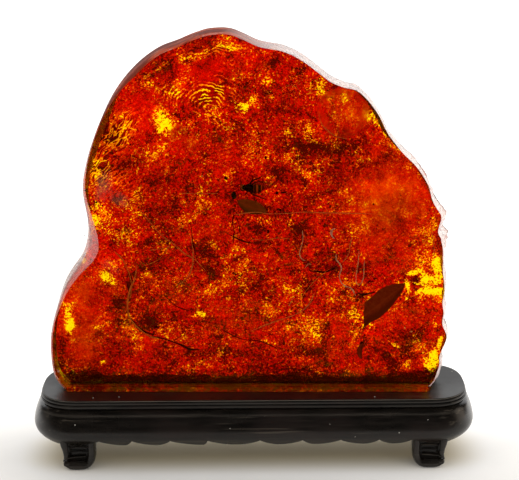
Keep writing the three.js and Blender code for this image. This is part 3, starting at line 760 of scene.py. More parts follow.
def spots(x, z, marks):
    """How strongly the soft oval marks cover each point."""
    total = np.zeros(len(x))
    for cx, cz, half_width, half_height, turn, strength in marks:
        cos, sin = math.cos(math.radians(turn)), math.sin(math.radians(turn))
        u = ((x - cx) * cos + (z - cz) * sin) / half_width
        v = ((z - cz) * cos - (x - cx) * sin) / half_height
        total = np.maximum(total, strength * np.exp(-((u * u + v * v) ** 1.2)))
    return total


def angle_about_centre(x, z):
    return (np.degrees(np.arctan2(z - SLAB_CENTRE[1], x - SLAB_CENTRE[0])) + 90) % 360 - 90


def from_centre(points):
    """Unit vectors from the slab's middle line to the points."""
    return unit((points - [SLAB_CENTRE[0], 0, SLAB_CENTRE[1]]) * [1, 0, 1])


def slab_outline():
    """Ring of x, z: the curved outline clockwise, then the straight foot back to the left."""
    foot_steps = int(SLAB_SIDES * SLAB_FOOT_SHARE)
    upper = evenly(catmull_rom(SLAB_OUTLINE, 24), SLAB_SIDES - foot_steps + 1)
    foot_x = np.linspace(upper[-1][0], upper[0][0], foot_steps + 1)[1:-1]
    return np.vstack([upper, np.column_stack([foot_x, np.full(len(foot_x), SLAB_FOOT)])])


def edge_rings(outline):
    """Rings from the front face to the back, and how broken the edge is round the outline."""
    dx, dz = (outline - SLAB_CENTRE).T
    angle = angle_about_centre(*outline.T)
    turn = np.radians(angle)
    broken = np.interp(angle, *zip(*BROKEN_SHARE))
    front_inset = np.interp(angle, *zip(*FRONT_INSET))
    back_inset = 2.4 + 0.8 * np.sin(3 * turn + 0.7) + 0.5 * np.sin(7 * turn + 2)
    polished = evenly(catmull_rom(POLISHED_EDGE, 12), EDGE_RINGS)
    rough = evenly(catmull_rom(BROKEN_EDGE, 12), EDGE_RINGS)
    rings = []
    for clean, torn in zip(polished, rough):
        y, front, back = clean[:, None] * (1 - broken) + torn[:, None] * broken
        share = 1 - (front * front_inset + back * back_inset) / np.hypot(dx, dz)
        z = np.maximum(SLAB_FOOT, SLAB_CENTRE[1] + dz * share)
        z[outline[:, 1] <= SLAB_FOOT + 0.01] = SLAB_FOOT
        rings.append(np.column_stack([SLAB_CENTRE[0] + dx * share, y, z]))
    return rings, broken


def slab_mesh():
    """Points and faces of the slab, and how broken the edge is at each point."""
    edge, broken = edge_rings(slab_outline())
    cx, cz = SLAB_CENTRE
    centre = np.array([cx, 0, cz])
    rim = edge[-1]
    rings = []
    # The last two rings keep the flat front flat right up to its edge
    for share in (*np.linspace(0, 1, FACE_RINGS - 1)[1:-1] ** 0.8, 0.985, 0.9975):
        ring = centre + (edge[0] - centre) * share
        ring[:, 1] = FRONT_FACE
        rings.append(ring)
    rings += edge
    for share in 1 - np.linspace(0, 1, BACK_RINGS + 1)[1:-1]:
        ring = centre + (rim - centre) * share
        x, z = ring[:, 0], ring[:, 2]
        swell = 0.9 * np.sin(x / 17 + 0.5) * np.cos(z / 21) + 0.5 * np.sin(x / 9 - z / 12)
        ring[:, 1] = rim[:, 1] + (BACK_FACE + swell - rim[:, 1]) * smooth_steps(1 - share, 0, 0.12)
        rings.append(ring)
    points, faces = outward(loft(rings, [[cx, FRONT_FACE, cz], [cx, BACK_FACE, cz]]))
    y = points[:, 1]
    broken = np.append(np.tile(broken, len(rings)), [0, 0])
    return points, faces, broken * (1 - smooth_steps(y, 6, 9.5)) * smooth_steps(y, -13.9, -12.5)


def roughen(points, skin, broken):
    """Lumps and crinkles of the back, conchoidal lumps of the broken edge, faint waves in front."""
    moved = points.copy()
    rough = skin > 0
    lumps = 0.75 * noise_at(points[rough], 16, 1, 3) + 0.28 * (ridges_at(points[rough], 6) - 1)
    moved[rough, 1] += skin[rough] * lumps
    torn = broken > 0.02
    chips = 0.8 * noise_at(points[torn] * [1, 0.6, 1], 5, 4, 3) + 0.5 * noise_at(points[torn], 2.2, 5, 2)
    moved[torn] += from_centre(points[torn]) * (broken[torn] * (chips - 0.35))[:, None]
    calm = points[:, 1] < FRONT_FACE + 0.05
    moved[calm, 1] += 0.05 * noise_at(points[calm], 30, 6, 2)
    moved[points[:, 2] <= SLAB_FOOT + 0.05, 2] = SLAB_FOOT
    moved[:, 2] = np.maximum(moved[:, 2], SLAB_FOOT)
    return moved


def amber():
    points, faces, broken = slab_mesh()
    x, y, z = points.T
    skin = smooth_steps(y, 2, 6)
    moved = roughen(points, skin, broken)
    piece = new_piece("amber", (moved, faces), amber_material())
    piece.data.set_sharp_from_angle(angle=SHARP_ANGLE)
    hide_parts("amber_front", "amber_back")
    seen_x = EYE_X + (x - EYE_X) * BACK_SHARE
    marks = {name: spots(seen_x, z + BACK_RISE, found) for name, found in BACK_MARKS.items()}
    foot_skin = (1 - smooth_steps(z, 35.2, 37)) * (y > 3)
    # Painted shade: the back's skin darker towards the foot, where the slab sits down in the dark board;
    # it is carried in the shades
    painted_foot_shade = 0.54 * (1 - smooth_steps(z, 37, 44)) + 0.18 * foot_skin
    foot_reds = (1 - smooth_steps(z, 35.4, 38.5)) * (y > FRONT_FACE + 0.2)
    low_walls = (1 - smooth_steps(z, 44, 62)) * smooth_steps(y, -12.5, -8) * 0.9
    skin = np.maximum(skin * (1 - broken * 0.5), foot_skin)
    skin = np.maximum(skin, low_walls * (z > SLAB_FOOT + 0.2))
    marks["shades"] = np.maximum(marks["shades"], painted_foot_shade)
    marks["reds"] = np.maximum.reduce([marks["reds"], foot_reds, low_walls * (y < 8)])
    wall = smooth_steps(y, -13.9, -11) * (1 - broken)
    paint(piece, skin=skin, broken=broken, wall=wall, **marks)
    bruised_edge(moved)
    return piece


def bruised_edge(points):
    """Whitish bruises and brown old polish on the edge, a film on the resin."""
    sides = len(slab_outline())
    first, last = FACE_RINGS - 1, FACE_RINGS + EDGE_RINGS - 3
    grid = points[first * sides : last * sides].reshape(-1, sides, 3)
    angle = angle_about_centre(grid[:, :, 0], grid[:, :, 2])
    brown = np.interp(angle, *zip(*FILM_BROWN))
    share = np.interp(angle, *zip(*FILM_SHARE)) * smooth_steps(grid[:, :, 2], 36.2, 38)
    share *= 1 - smooth_steps(grid[:, :, 1] - 6 * brown, -1, 5)
    kept = np.where(share.max(axis=0) > 0.02)[0]
    wrap = np.where(np.diff(kept) > 1)[0]
    kept = np.roll(kept, -(wrap[0] + 1)) if len(wrap) else kept
    grid, share, brown = grid[:, kept], share[:, kept], brown[:, kept]
    film = np.vstack([(grid + from_centre(grid) * lift).reshape(-1, 3) for lift in FILM_SIDES])
    shape = outward((film, sheet_faces(*share.shape)))
    piece = new_piece("bruised_edge", shape, bruised_material())
    outer = smooth_steps(grid[:, :, 1], 3, 8)
    cover, brown, outer = (np.tile(values.ravel(), 2) for values in (share, brown, outer))
    paint(piece, cover=cover, brown=brown, outer=outer)


def bruised_material():
    shader = Shader("bruised_resin")
    place = shader.place
    brown, cover, outer = shader.painted("brown", "cover", "outer")
    lines = shader.line(shader.noise(place, 2.4, 4, 0.7, 0.6), 0.5, 0.09, 0)
    patches = shader.noise(place, 7)
    layers = shader.noise(shader.stretched(place, (0.25, 1, 0.25)), 8, 4, 0.7)
    layer = shader.span(layers, 0.44, 0.54)
    thread = shader.line(layers, 0.4, 0.03, 0, 0.7)
    bruise = 0.2 + 0.6 * lines + 0.3 * shader.span(patches, 0.4, 0.6)
    stain = 0.5 + 0.3 * layer + 0.2 * patches + 0.2 * outer
    alpha = (bruise * (1 - brown) + stain * brown) * (1.2 * cover)
    colour = shader.mix(shader.span(patches, 0.35, 0.65), (0.95, 0.88, 0.86), (0.9, 0.75, 0.7))
    stained = shader.mix(layer, (0.52, 0.1, 0.045), (0.18, 0.028, 0.014))
    stained = shader.mix(thread, stained, (0.6, 0.36, 0.3))
    stained = shader.mix(0.8 * outer, stained, (0.09, 0.022, 0.012))
    colour = shader.mix(brown, colour, stained)
    return shader.finish(Base_Color=colour, Roughness=0.6, Alpha=alpha, Specular_IOR_Level=0.08)


# Inclusions


def buried(x, z, depth):
    """Point that deep in the resin which is seen at this place of the front face."""
    spread = EYE_X + (x - EYE_X) * (1 + SPREAD * depth)
    return np.array([spread, FRONT_FACE + depth, z - SINK * depth])


def plain_material(name, dark, light, size, roughness=0.6):
    shader = Shader(name)
    value = shader.noise(shader.place, size, 3, 0.6)
    colour = shader.mix(shader.span(value, 0.3, 0.7), dark, light)
    normal = shader.bump(value, 0.3, 0.15)
    return shader.finish(
        Base_Color=colour, Roughness=roughness, Normal=normal, Specular_IOR_Level=0.1)


def leaf_material(name, green=0.0):
    shader = Shader(name)
    fibres = shader.noise(shader.stretched(shader.place, (1, 1, 1), 43), 1.5, 3, 0.6)
    veins, fold = shader.painted("vein", "fold")
    dark, light = (0.24, 0.035 + green, 0.09), (0.32, 0.06 + green, 0.12)
    colour = shader.mix(shader.span(fibres, 0.3, 0.7), dark, light)
    colour = shader.mix(0.5 * veins, colour, (0.46, 0.09, 0.15))
    colour = shader.mix(0.75 * fold, colour, (0.14, 0.02 + green, 0.06))
    normal = shader.bump(fibres, 0.3, 0.2)
    return shader.finish(Base_Color=colour, Roughness=0.55, Normal=normal, Specular_IOR_Level=0.1)


def leaf(name, edges, material, veins, ragged):
    """Thin sheet between an upper and a lower edge, arched, with a raised midrib."""
    columns, rows = 90, 30
    upper, lower = (evenly(catmull_rom(edge, 10), columns).repeat(rows, axis=0) for edge in edges)
    along = np.repeat(np.linspace(0, 1, columns), rows)
    across = np.tile(np.linspace(0, 1, rows), columns)
    x, z = (upper * (1 - across)[:, None] + lower * across[:, None]).T
    places = np.column_stack([x, np.zeros(len(x)), z])
    x = x + ragged * noise_at(places, 2.2, 3, 2) * along**8
    slant = (along * veins - np.abs(across - MIDRIB) * 3.2) % 1.0
    vein = np.maximum(bell(across - MIDRIB, 0.05), 0.6 * bell(slant - 0.5, 0.1))
    middle = BED - 0.08 + 0.12 * np.sin(across * math.pi) + 0.05 * noise_at(places, 6, 7, 2)
    half = LEAF_HALF * np.clip(12 * across * (1 - across), 0.2, 1) + 0.04 * vein
    points = np.vstack([np.column_stack([x, y, z]) for y in (middle - half, middle + half)])
    shape = outward((points, sheet_faces(columns, rows)))
    piece = new_piece(name, shape, material)
    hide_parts(name)
    paint(piece, vein=np.tile(vein, 2), fold=np.tile(smooth_steps(across, 0.62, 0.8), 2))


def insect_material():
    shader = Shader("sealed_insect")
    fuzz = shader.noise(shader.place, 0.5, 2, 0.6)
    band, pale = shader.painted("band", "pale")
    colour = shader.mix(shader.span(fuzz, 0.3, 0.7), (0.006, 0.004, 0.003), (0.02, 0.01, 0.006))
    colour = shader.mix(band, colour, (0.85, 0.16, 0.02))
    colour = shader.mix(pale, colour, (0.8, 0.3, 0.4))
    normal = shader.bump(fuzz, 0.3, 0.1)
    return shader.finish(Base_Color=colour, Roughness=0.4, Normal=normal, Specular_IOR_Level=0.15)


def insect():
    def body(lobe, rows=24, sides=28):
        x, z, length, height, depth = lobe
        return ball((x, BED, z), (length, depth, height), rows, sides)

    abdomen, abdomen_faces = body(ABDOMEN, 44, 32)
    share = (abdomen[:, 0] - ABDOMEN[0]) / ABDOMEN[2]
    grooves = 1 - 0.07 * bell(share * 3.2 % 1 - 0.5, 0.16)
    middle = np.array([BED, ABDOMEN[1]])
    abdomen[:, 1:] = middle + (abdomen[:, 1:] - middle) * grooves[:, None]
    parts = [body(HEAD), body(EYE), body(THORAX), (abdomen, abdomen_faces)]
    for path, radius in LIMBS:
        bent = [(x, BED + 0.25 * math.sin(3 * i), z) for i, (x, z) in enumerate(path)]
        parts.append(tube(bent, [radius * share for share in (1.2, 1, 0.75, 0.45)], steps=10))
    points, faces = joined(parts)
    piece = new_piece("insect", (points, faces), insect_material())
    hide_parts("insect")
    x, z = points[:, 0], points[:, 2]
    in_abdomen = ((x - ABDOMEN[0]) / 3.4) ** 2 + ((z - ABDOMEN[1]) / 2.3) ** 2 < 1
    bands = bell(x - 2.7, 0.6) ** 2 + bell(x - 4.9, 0.4) ** 2 + 0.6 * bell(x - 1.1, 0.18) ** 2
    round_eye = bell(np.hypot(x - EYE[0] - 0.1, z - EYE[1]) - 1.25, 0.22)
    paint(piece, band=np.clip(bands, 0, 1) * in_abdomen, pale=round_eye * (x < -3.9) * 0.9)


def insect_wings():
    shader = Shader("insect_wing")
    value = shader.noise(shader.stretched(shader.place, (0.3, 1, 1)), 0.6)
    colour = shader.mix(shader.span(value, 0.3, 0.7), (0.5, 0.01, 0.01), (0.8, 0.04, 0.03))
    material = shader.finish(Base_Color=colour, Roughness=0.5, Alpha=0.4)
    sheets = []
    for outline in WINGS:
        ring = catmull_rom([*outline, outline[0]], 8)[:-1]
        front = np.column_stack([ring[:, 0], np.full(len(ring), BED - WING_HALF), ring[:, 1]])
        sheets.append(outward(loft([front, front + [0, 2 * WING_HALF, 0]])))
    new_piece("insect_wings", joined(sheets), material)


def seed():
    material = plain_material("sealed_seed", (0.006, 0.004, 0.004), (0.02, 0.012, 0.01), 0.8, 0.3)
    x, z, half_width, half_height, half_depth = SEED
    centre = np.array([x, BED, z])
    points, faces = ball(centre, (half_width, half_depth, half_height), 24, 28)
    points = centre + (points - centre) * (0.97 + 0.06 * noise_at(points, 1.6, 8, 2))[:, None]
    piece = new_piece("seed", (points, faces), material)
    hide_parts("seed")


def roots(name, paths, material):
    parts = []
    for number, (path, depth, radius) in enumerate(paths):
        smooth = catmull_rom(path, 6)
        wobble = noise_at(np.column_stack([smooth, np.full(len(smooth), depth)]), 7, number + 2, 2)
        points = [buried(x, z, depth + 0.6 * w) for (x, z), w in zip(smooth, wobble)]
        radii = radius * (1 + 0.25 * np.sin(np.linspace(0, 9, 12) + number))
        radii[[0, -1]] *= 0.4
        parts.append(tube(points, radii, sides=7, steps=2))
    new_piece(name, joined(parts), material)


def crumbs(name, places, material, first_seed=0):
    parts = []
    for number, (x, z, depth, half_width, half_height) in enumerate(places, first_seed):
        parts.append(crumb(buried(x, z, depth), half_width, half_height, number))
    new_piece(name, joined(parts), material)


def scattered_crumbs():
    """Fine dust of bark all through the resin, in the place and size that a seed gives."""
    random = np.random.default_rng(BARK_DUST_SEED)
    found = []
    while len(found) < BARK_DUST_COUNT:
        x, z = random.uniform(-92, 90), random.uniform(42, 204)
        if math.hypot((x + 4) / 92, (z - 112) / 92) <= 0.93:
            size = 0.14 + 0.32 * random.random() ** 3
            found.append((x, z, random.uniform(5, 22), size, size * random.uniform(0.4, 1.6)))
    return found


def plates(name, marks, shares, thickness, material):
    """Thin marks, open behind, each with its centre, its spokes, and its cover at the centre and
    at each share of the way out."""
    parts, covers = [], []
    for centre, spokes, cover in marks:
        rings = [centre + spokes * share for share in shares]
        parts.append(loft([*rings, rings[-1] + [0, thickness, 0]], back_open=True))
        none = np.zeros(len(spokes))
        covers += [*(value + none for value in cover[1:]), none, [np.mean(cover[0])]]
    piece = new_piece(name, joined(parts), material)
    paint(piece, cover=np.concatenate(covers))


def discs():
    """Round flat cracks that veil what is behind them, a little brighter along one side by a painted
    highlight, and painted highlight arcs along two of their rims.
    """
    shader = Shader("stress_mark")
    streaks = shader.noise(shader.place, 3, 3, 0.6)
    colour = shader.mix(shader.span(streaks, 0.3, 0.7), (1, 0.7, 0.5), (1, 0.85, 0.7))
    alpha = shader.painted("cover") * shader.span(streaks, 0.1, 0.75, 0.4, 1)
    material = shader.finish(
        Base_Color=colour, Roughness=0.5, IOR=1.25, Transmission_Weight=1, Alpha=alpha)
    turn = np.linspace(0, 2 * math.pi, DISC_SIDES, endpoint=False)
    shares = (0.25, 0.5, 0.75, 0.9, 0.97, 1)
    marks = []
    for number, (x, z, depth, radius, strength) in enumerate(DISCS):
        reach = radius * (1 + 0.04 * np.sin(3 * turn + number))
        tilt = np.full(DISC_SIDES, 0.12 * math.sin(number))
        spokes = np.column_stack([np.cos(turn) * reach, tilt, np.sin(turn) * reach])
        # Painted highlight: the rim is more covered along one side of each mark
        painted_highlight_side = 0.5 + 0.5 * np.cos(turn - 3.9 - 0.2 * number)
        cover = [strength * (0.34 + 0.16 * s**4 + 0.4 * s**8 * painted_highlight_side) for s in (0, *shares)]
        marks.append((buried(x, z, depth), spokes, cover))
    plates("stress_marks", marks, shares, 0.06, material)

    # Pale arcs along two rims, a painted highlight
    bright = Shader("painted_highlight_resin").finish(Base_Color=(0.95, 0.5, 0.35), Roughness=0.4, Alpha=0.6)
    rims = []
    for path, depth, radius in PAINTED_HIGHLIGHT_ARCS:
        radii = [radius * 0.3, radius, radius, radius * 0.3]
        rims.append(tube([buried(x, z, depth) for x, z in path], radii))
    new_piece("painted_highlight_rims", joined(rims), bright)


def smudges():
    """Dull brownish films on the polished front, thin and uneven."""
    shader = Shader("old_film")
    cloud = shader.noise(shader.place, 5, 4, 0.6, 0.5)
    alpha = shader.painted("cover") * shader.span(cloud, 0.3, 0.66, 0.05, 0.55)
    material = shader.finish(
        Base_Color=(0.2, 0.06, 0.03), Roughness=0.6, Alpha=alpha, Specular_IOR_Level=0.2)
    around = np.linspace(0, 2 * math.pi, SMUDGE_SIDES, endpoint=False)
    shares = (0.15, 0.4, 0.65, 0.85, 1)
    marks = []
    for x, z, half_width, half_height, turn, strength in SMUDGES:
        cos, sin = math.cos(math.radians(turn)), math.sin(math.radians(turn))
        u, v = np.cos(around) * half_width, np.sin(around) * half_height
        spokes = np.column_stack([u * cos - v * sin, np.zeros(SMUDGE_SIDES), u * sin + v * cos])
        cover = [strength * (1 - s * s) for s in (0, *shares)]
        marks.append((np.array([x, FRONT_FACE - SMUDGE_LIFT, z]), spokes, cover))
    plates("smudges", marks, shares, 0.05, material)


def inclusions():
    brown = leaf_material("sealed_leaf")
    leaf("leaf_long", LEAF_LONG, brown, 9, 0.5)
    leaf("leaf_oval", LEAF_OVAL, leaf_material("sealed_oval_leaf", 0.055), 5, 0.1)
    leaf("leaf_scrap", LEAF_SCRAP, brown, 3, 0.1)
    insect()
    insect_wings()
    seed()
    pale = plain_material("pale_root", (0.9, 0.6, 0.52), (1, 0.86, 0.76), 2)
    rust = plain_material("brown_root", (0.8, 0.27, 0.14), (1, 0.45, 0.24), 2)
    dark = plain_material("dark_root", (0.02, 0.003, 0.004), (0.06, 0.006, 0.006), 2)
    roots("roots_pale", [*PALE_ROOTS, CRESCENT], pale)
    roots("roots_brown", BROWN_ROOTS, rust)
    roots("roots_dark", DARK_ROOTS, dark)
    crumbs("crumbs", CRUMBS, dark)
    crumbs("crumbs_pale", PALE_CRUMBS, pale, 20)
    crumbs("bark_dust", scattered_crumbs(), dark, 40)
    discs()
    smudges()


# Stand


def rounded(angle, power):
    """Both coordinates of a superellipse of size one."""
    waves = np.cos(angle), np.sin(angle)
    return (np.sign(wave) * np.abs(wave) ** (2 / power) for wave in waves)


def oval(grow, end_steps=64, straight_steps=48):
    """The board's plan, grown outward, anticlockwise from the right end's front corner."""
    x, y = rounded(np.linspace(-0.5, 0.5, end_steps + 1) * math.pi, OVAL_POWER)
    end = np.column_stack([STRAIGHT + (END_LENGTH + grow) * x, (HALF_DEPTH + grow) * y])
    run = np.linspace(STRAIGHT, -STRAIGHT, straight_steps + 1)[1:-1]
    back = np.column_stack([run, np.full(len(run), HALF_DEPTH + grow)])
    return np.vstack([end, back, -end, -back])


def at_height(plan, z):
    return np.column_stack([plan, np.full(len(plan), z)])


def away(ring):
    """Outward unit vectors at the points of an anticlockwise ring."""
    way = unit(np.roll(ring, -1, axis=0) - np.roll(ring, 1, axis=0))
    return np.column_stack([way[:, 1], -way[:, 0]])


def convex(points):
    """Convex outline of points in a plane, anticlockwise."""
    points = sorted(map(tuple, points))

    def half(ordered):
        kept = []
        for point in ordered:
            while len(kept) > 1:
                (ax, ay), (bx, by) = kept[-2:]
                if (bx - ax) * (point[1] - ay) - (by - ay) * (point[0] - ax) > 0:
                    break
                kept.pop()
            kept.append(point)
        return kept[:-1]

    return np.array(half(points) + half(points[::-1]))


def bed_ring(slab):
    """Outline of the slab's foot in the board, with clearance, as many points as the plan."""
    low = np.array([vertex.co for vertex in slab.data.vertices]) / MM
    low = low[low[:, 2] < BOARD_TOP + 0.3]
    cos, sin = math.cos(SLAB_TURN), math.sin(SLAB_TURN)
    x = low[:, 0] * cos - low[:, 1] * sin
    y = SLAB_SETBACK + low[:, 0] * sin + low[:, 1] * cos
    hull = convex(np.column_stack([x, y]))
    closed = evenly(np.vstack([hull, hull[:1]]), 1200)[:-1]
    x, y = (closed + away(closed) * BED_CLEARANCE).T
    plan = oval(0)
    wanted = np.arctan2(plan[:, 1], plan[:, 0])
    reach = np.interp(wanted, np.arctan2(y, x), np.hypot(x, y), period=2 * math.pi)
    return np.column_stack([np.cos(wanted), np.sin(wanted)]) * reach[:, None]


def wood_material(name, dusty=0.0, dull=0.0):
    """Black-brown lacquer over long grain, lighter along the edges: partly rubbed wear, partly painted
    highlight.
    """
    shader = Shader(name)
    place = shader.place
    grain = shader.noise(shader.stretched(place, (0.1, 1, 1)), 2, 5, 0.62)
    patches = shader.noise(place, 28, 3)
    scratches = shader.noise(shader.stretched(place, (0.03, 0.5, 1)), 1.3)
    dark = (0.004 + dusty, 0.003 + dusty, 0.0022 + dusty)
    light = (0.01 + dusty, 0.0075 + dusty, 0.0055 + dusty)
    colour = shader.mix(shader.span(grain, 0.35, 0.7), dark, light)
    colour = shader.mix(shader.span(patches, 0.45, 0.7, 0, 0.6), colour, (0.014, 0.0075, 0.0055))
    colour = shader.mix(shader.span(scratches, 0.62, 0.74, 0, 0.5), colour, (0.06, 0.048, 0.034))
    # Where this painted value is high the lacquer is lighter: rubbed wear, plus a painted highlight on
    # lips, beads and edges
    worn = shader.painted("worn") * shader.span(grain, 0.2, 0.6, 0.5, 1)
    colour = shader.mix(worn, colour, (0.2, 0.17, 0.13))
    rough = shader.span(patches, 0.3, 0.7, 0.24 + dull, 0.36 + dull)
    normal = shader.bump(grain, 0.1, 0.15)
    return shader.finish(Base_Color=colour, Roughness=rough, Normal=normal, Specular_IOR_Level=0.3)


def board(slab, material):
    rings = [at_height(oval(grow), z) for grow, z in evenly(catmull_rom(BOARD_EDGE, 8), 56)]
    bed = bed_ring(slab)
    last = rings[-1][:, :2]
    for share in (0.02, 0.3, 0.7, 0.97, 1):
        rings.append(at_height(last * (1 - share) + bed * share, BOARD_TOP))
    rings += [at_height(bed, BOARD_TOP - 0.15), at_height(bed, BED_FLOOR)]
    points, faces = outward(loft(rings))
    piece = new_piece("board", (points, faces), material, in_slab=False)
    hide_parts("stand_top")
    z = points[:, 2]
    # Painted highlight along the board's lip and the two beads below it, partly also wear on the lip
    lip = bell(z - 35.55, 0.14) * (np.abs(z - BOARD_TOP) > 0.01)
    paint(piece, worn=lip * 0.8 + bell(z - 34.4, 0.25) * 0.1 + bell(z - 32.7, 0.4) * 0.06)


def apron_stations():
    """Places round the plan, a whole number of them to each lobe: place, outward way, edge height."""
    plan = oval(0)
    closed = np.vstack([plan, plan[:1]])
    length = lengths(closed)
    period = length[-1]
    arc = period / 2 - 2 * STRAIGHT
    half = [*FRONT_CUSPS, *[(STRAIGHT + share * arc, 0.5) for share in END_CUSP_SHARES]]
    cusps = half + [(cusp + period / 2, 0.5) for cusp, lowest in half]
    cusps.append((half[0][0] + period, 0.5))
    share = np.linspace(0, 1, LOBE_STEPS, endpoint=False)
    along, edge = [], []
    for (start, lowest), (stop, following) in zip(cusps, cusps[1:]):
        falling = np.minimum(share / lowest, (1 - share) / (1 - lowest))
        along.append(start + (stop - start) * share - STRAIGHT)
        edge.append(CUSP_TOP - (CUSP_TOP - LOBE_BOTTOM) * np.sin(math.pi / 2 * falling) ** LOBE_FULLNESS)
    along = np.concatenate(along) % period
    place = np.column_stack([np.interp(along, length, closed[:, k]) for k in range(2)])
    return place, away(place), np.concatenate(edge)


def apron(material):
    place, out, edge = apron_stations()
    profile = catmull_rom(APRON_BULGE, 8)[::-1]
    top, inset = APRON_BULGE[0][0], APRON_BULGE[-1][1] - SKIRT

    def ring(z, shrink=0.0, lower=0.0):
        grow = np.interp(z, profile[:, 0], profile[:, 1]) - shrink
        return at_height(place + out * grow[:, None], z - lower)

    rings = [ring(top + (edge - top) * share) for share in np.linspace(0, 1, 34)]
    rings.append(ring(edge, 0.35, 0.12))
    inner = place + out * inset
    end_scale = HOLLOW_END / (STRAIGHT + END_LENGTH + inset - HOLLOW_STRAIGHT)
    depth_scale = HOLLOW_HALF_DEPTH / (HALF_DEPTH + inset)
    x, y = inner.T
    past = np.sign(x) * np.maximum(np.abs(x) - HOLLOW_STRAIGHT, 0)
    mouth = np.column_stack([x - past * (1 - end_scale), y * depth_scale])
    rings += [at_height(inner, edge), at_height(inner, UNDERSIDE)]
    rings += [at_height(mouth, UNDERSIDE), at_height(mouth, HOLLOW_CEILING)]
    points, faces = outward(loft(rings))
    piece = new_piece("apron", (points, faces), material, in_slab=False)
    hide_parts("stand_apron")
    above_edge = np.concatenate([*[level[:, 2] - edge for level in rings], [20, 20]])
    z = points[:, 2]
    # Painted highlight along the lobes' lower rims and the shoulder line, partly also wear; the faint
    # lightening towards the bottom is painted light from the floor
    worn = bell(np.maximum(above_edge, 0), 0.35) * 0.1 + bell(z - 28.8, 0.35) * 0.12
    paint(piece, worn=worn + smooth_steps(24 - z, 0, 6) * 0.012)


def foot(name, side, depth, material):
    """Scroll foot: a core, and the raised bars of the scroll on its outer face."""
    across, through = rounded((np.arange(FOOT_SIDES) + 0.5) / FOOT_SIDES * 2 * math.pi, FOOT_POWER)
    rings = []
    for z, inner, outer, front, back in catmull_rom(FOOT_LEVELS, 5):
        x = (outer + inner) / 2 + (outer - inner) / 2 * across
        y = (front + back) / 2 + (front - back) / 2 * through
        rings.append(at_height(np.column_stack([x, y]), z))
    parts = [outward(loft(rings))]
    for path, widths, deep in FOOT_BARS:
        parts.append(tube([(x, FOOT_FACE, z) for x, z in path], widths, deep, sides=14))
    parts.append(ball(SCROLL_TIP, SCROLL_TIP_RADII, 10, 14))
    points, faces = joined(parts)
    points = points * [side, depth, 1]
    points[:, 2] = np.maximum(points[:, 2], 0)
    if side * depth < 0:
        faces = [face[::-1] for face in faces]
    piece = new_piece(name, (points, faces), material, in_slab=False)
    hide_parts(name)
    # Lighter on the foot's most forward parts: partly wear, partly painted highlight
    paint(piece, worn=0.04 * smooth_steps(np.abs(points[:, 1]), 29.8, 31))


def stand_dust():
    material = plain_material("pale_dust", (0.45, 0.42, 0.36), (0.75, 0.7, 0.62), 0.5)
    heights, bulge = zip(*APRON_BULGE[::-1])
    parts = []
    for number, (x, y) in enumerate(BOARD_DUST):
        parts.append(crumb(np.array([x, y, BOARD_TOP + 0.05]), 0.28, 0.14, number))
    for number, (x, z) in enumerate(APRON_DUST, 7):
        out = HALF_DEPTH + np.interp(z, heights, bulge)
        parts.append(crumb(np.array([x, -out, z]), 0.22, 0.2, number))
    new_piece("stand_dust", joined(parts), material, in_slab=False)


def stand(slab):
    stand_dust()
    board(slab, wood_material("board_lacquer", 0.003, 0.14))
    wood = wood_material("black_lacquer")
    apron(wood)
    foot("foot_front_left", -1, -1, wood)
    foot("foot_front_right", 1, -1, wood)
    foot("foot_back_left", -1, 1, wood)
    foot("foot_back_right", 1, 1, wood)


# Stage, light and camera, in metres

PHOTO_SIZE = (519, 480)
FOCAL_PIXELS = 2000.0
SENSOR_WIDTH = 36.0
EYE_ELEVATION = math.radians(13)
EYE_DISTANCE = 1.0
EYE_TARGET = Vector((0.0035, 0, 0.11))
EYE_ROLL = math.radians(-0.4)

FLOOR_COLOUR = (0.67, 0.65, 0.62)
MOTTLED_FLOOR = (0.69, 0.67, 0.64)
# Floor colour painted in the stand's shade: a warmer, lighter tone that stands in for light bounced into
# the shade
PAINTED_WARM_SHADE = (0.74, 0.62, 0.4)
# Half width and half depth of the darkest shade under the stand, where the floor is fully painted in the
# warm shade colour, and how far that fades
SHADE_CORE = (0.088, 0.008)
SHADE_FADE = 0.034
FLOOR_REACH = 8.0
FLOOR_SPLIT = -0.12
DIM_RISE = 7.0
LIGHT_TARGET = Vector((0, 0, 0.1))


def camera():
    data = bpy.data.cameras.new("camera")
    data.sensor_width = SENSOR_WIDTH
    data.lens = SENSOR_WIDTH * FOCAL_PIXELS / PHOTO_SIZE[0]
    eye = bpy.data.objects.new("camera", data)
    back = Vector((0, -math.cos(EYE_ELEVATION), math.sin(EYE_ELEVATION)))
    aim = (-back).to_track_quat("-Z", "Y").to_matrix().to_4x4()
    place = Matrix.Translation(EYE_TARGET + back * EYE_DISTANCE)
    eye.matrix_world = place @ aim @ Matrix.Rotation(EYE_ROLL, 4, "Z")
    bpy.context.scene.collection.objects.link(eye)
    bpy.context.scene.camera = eye


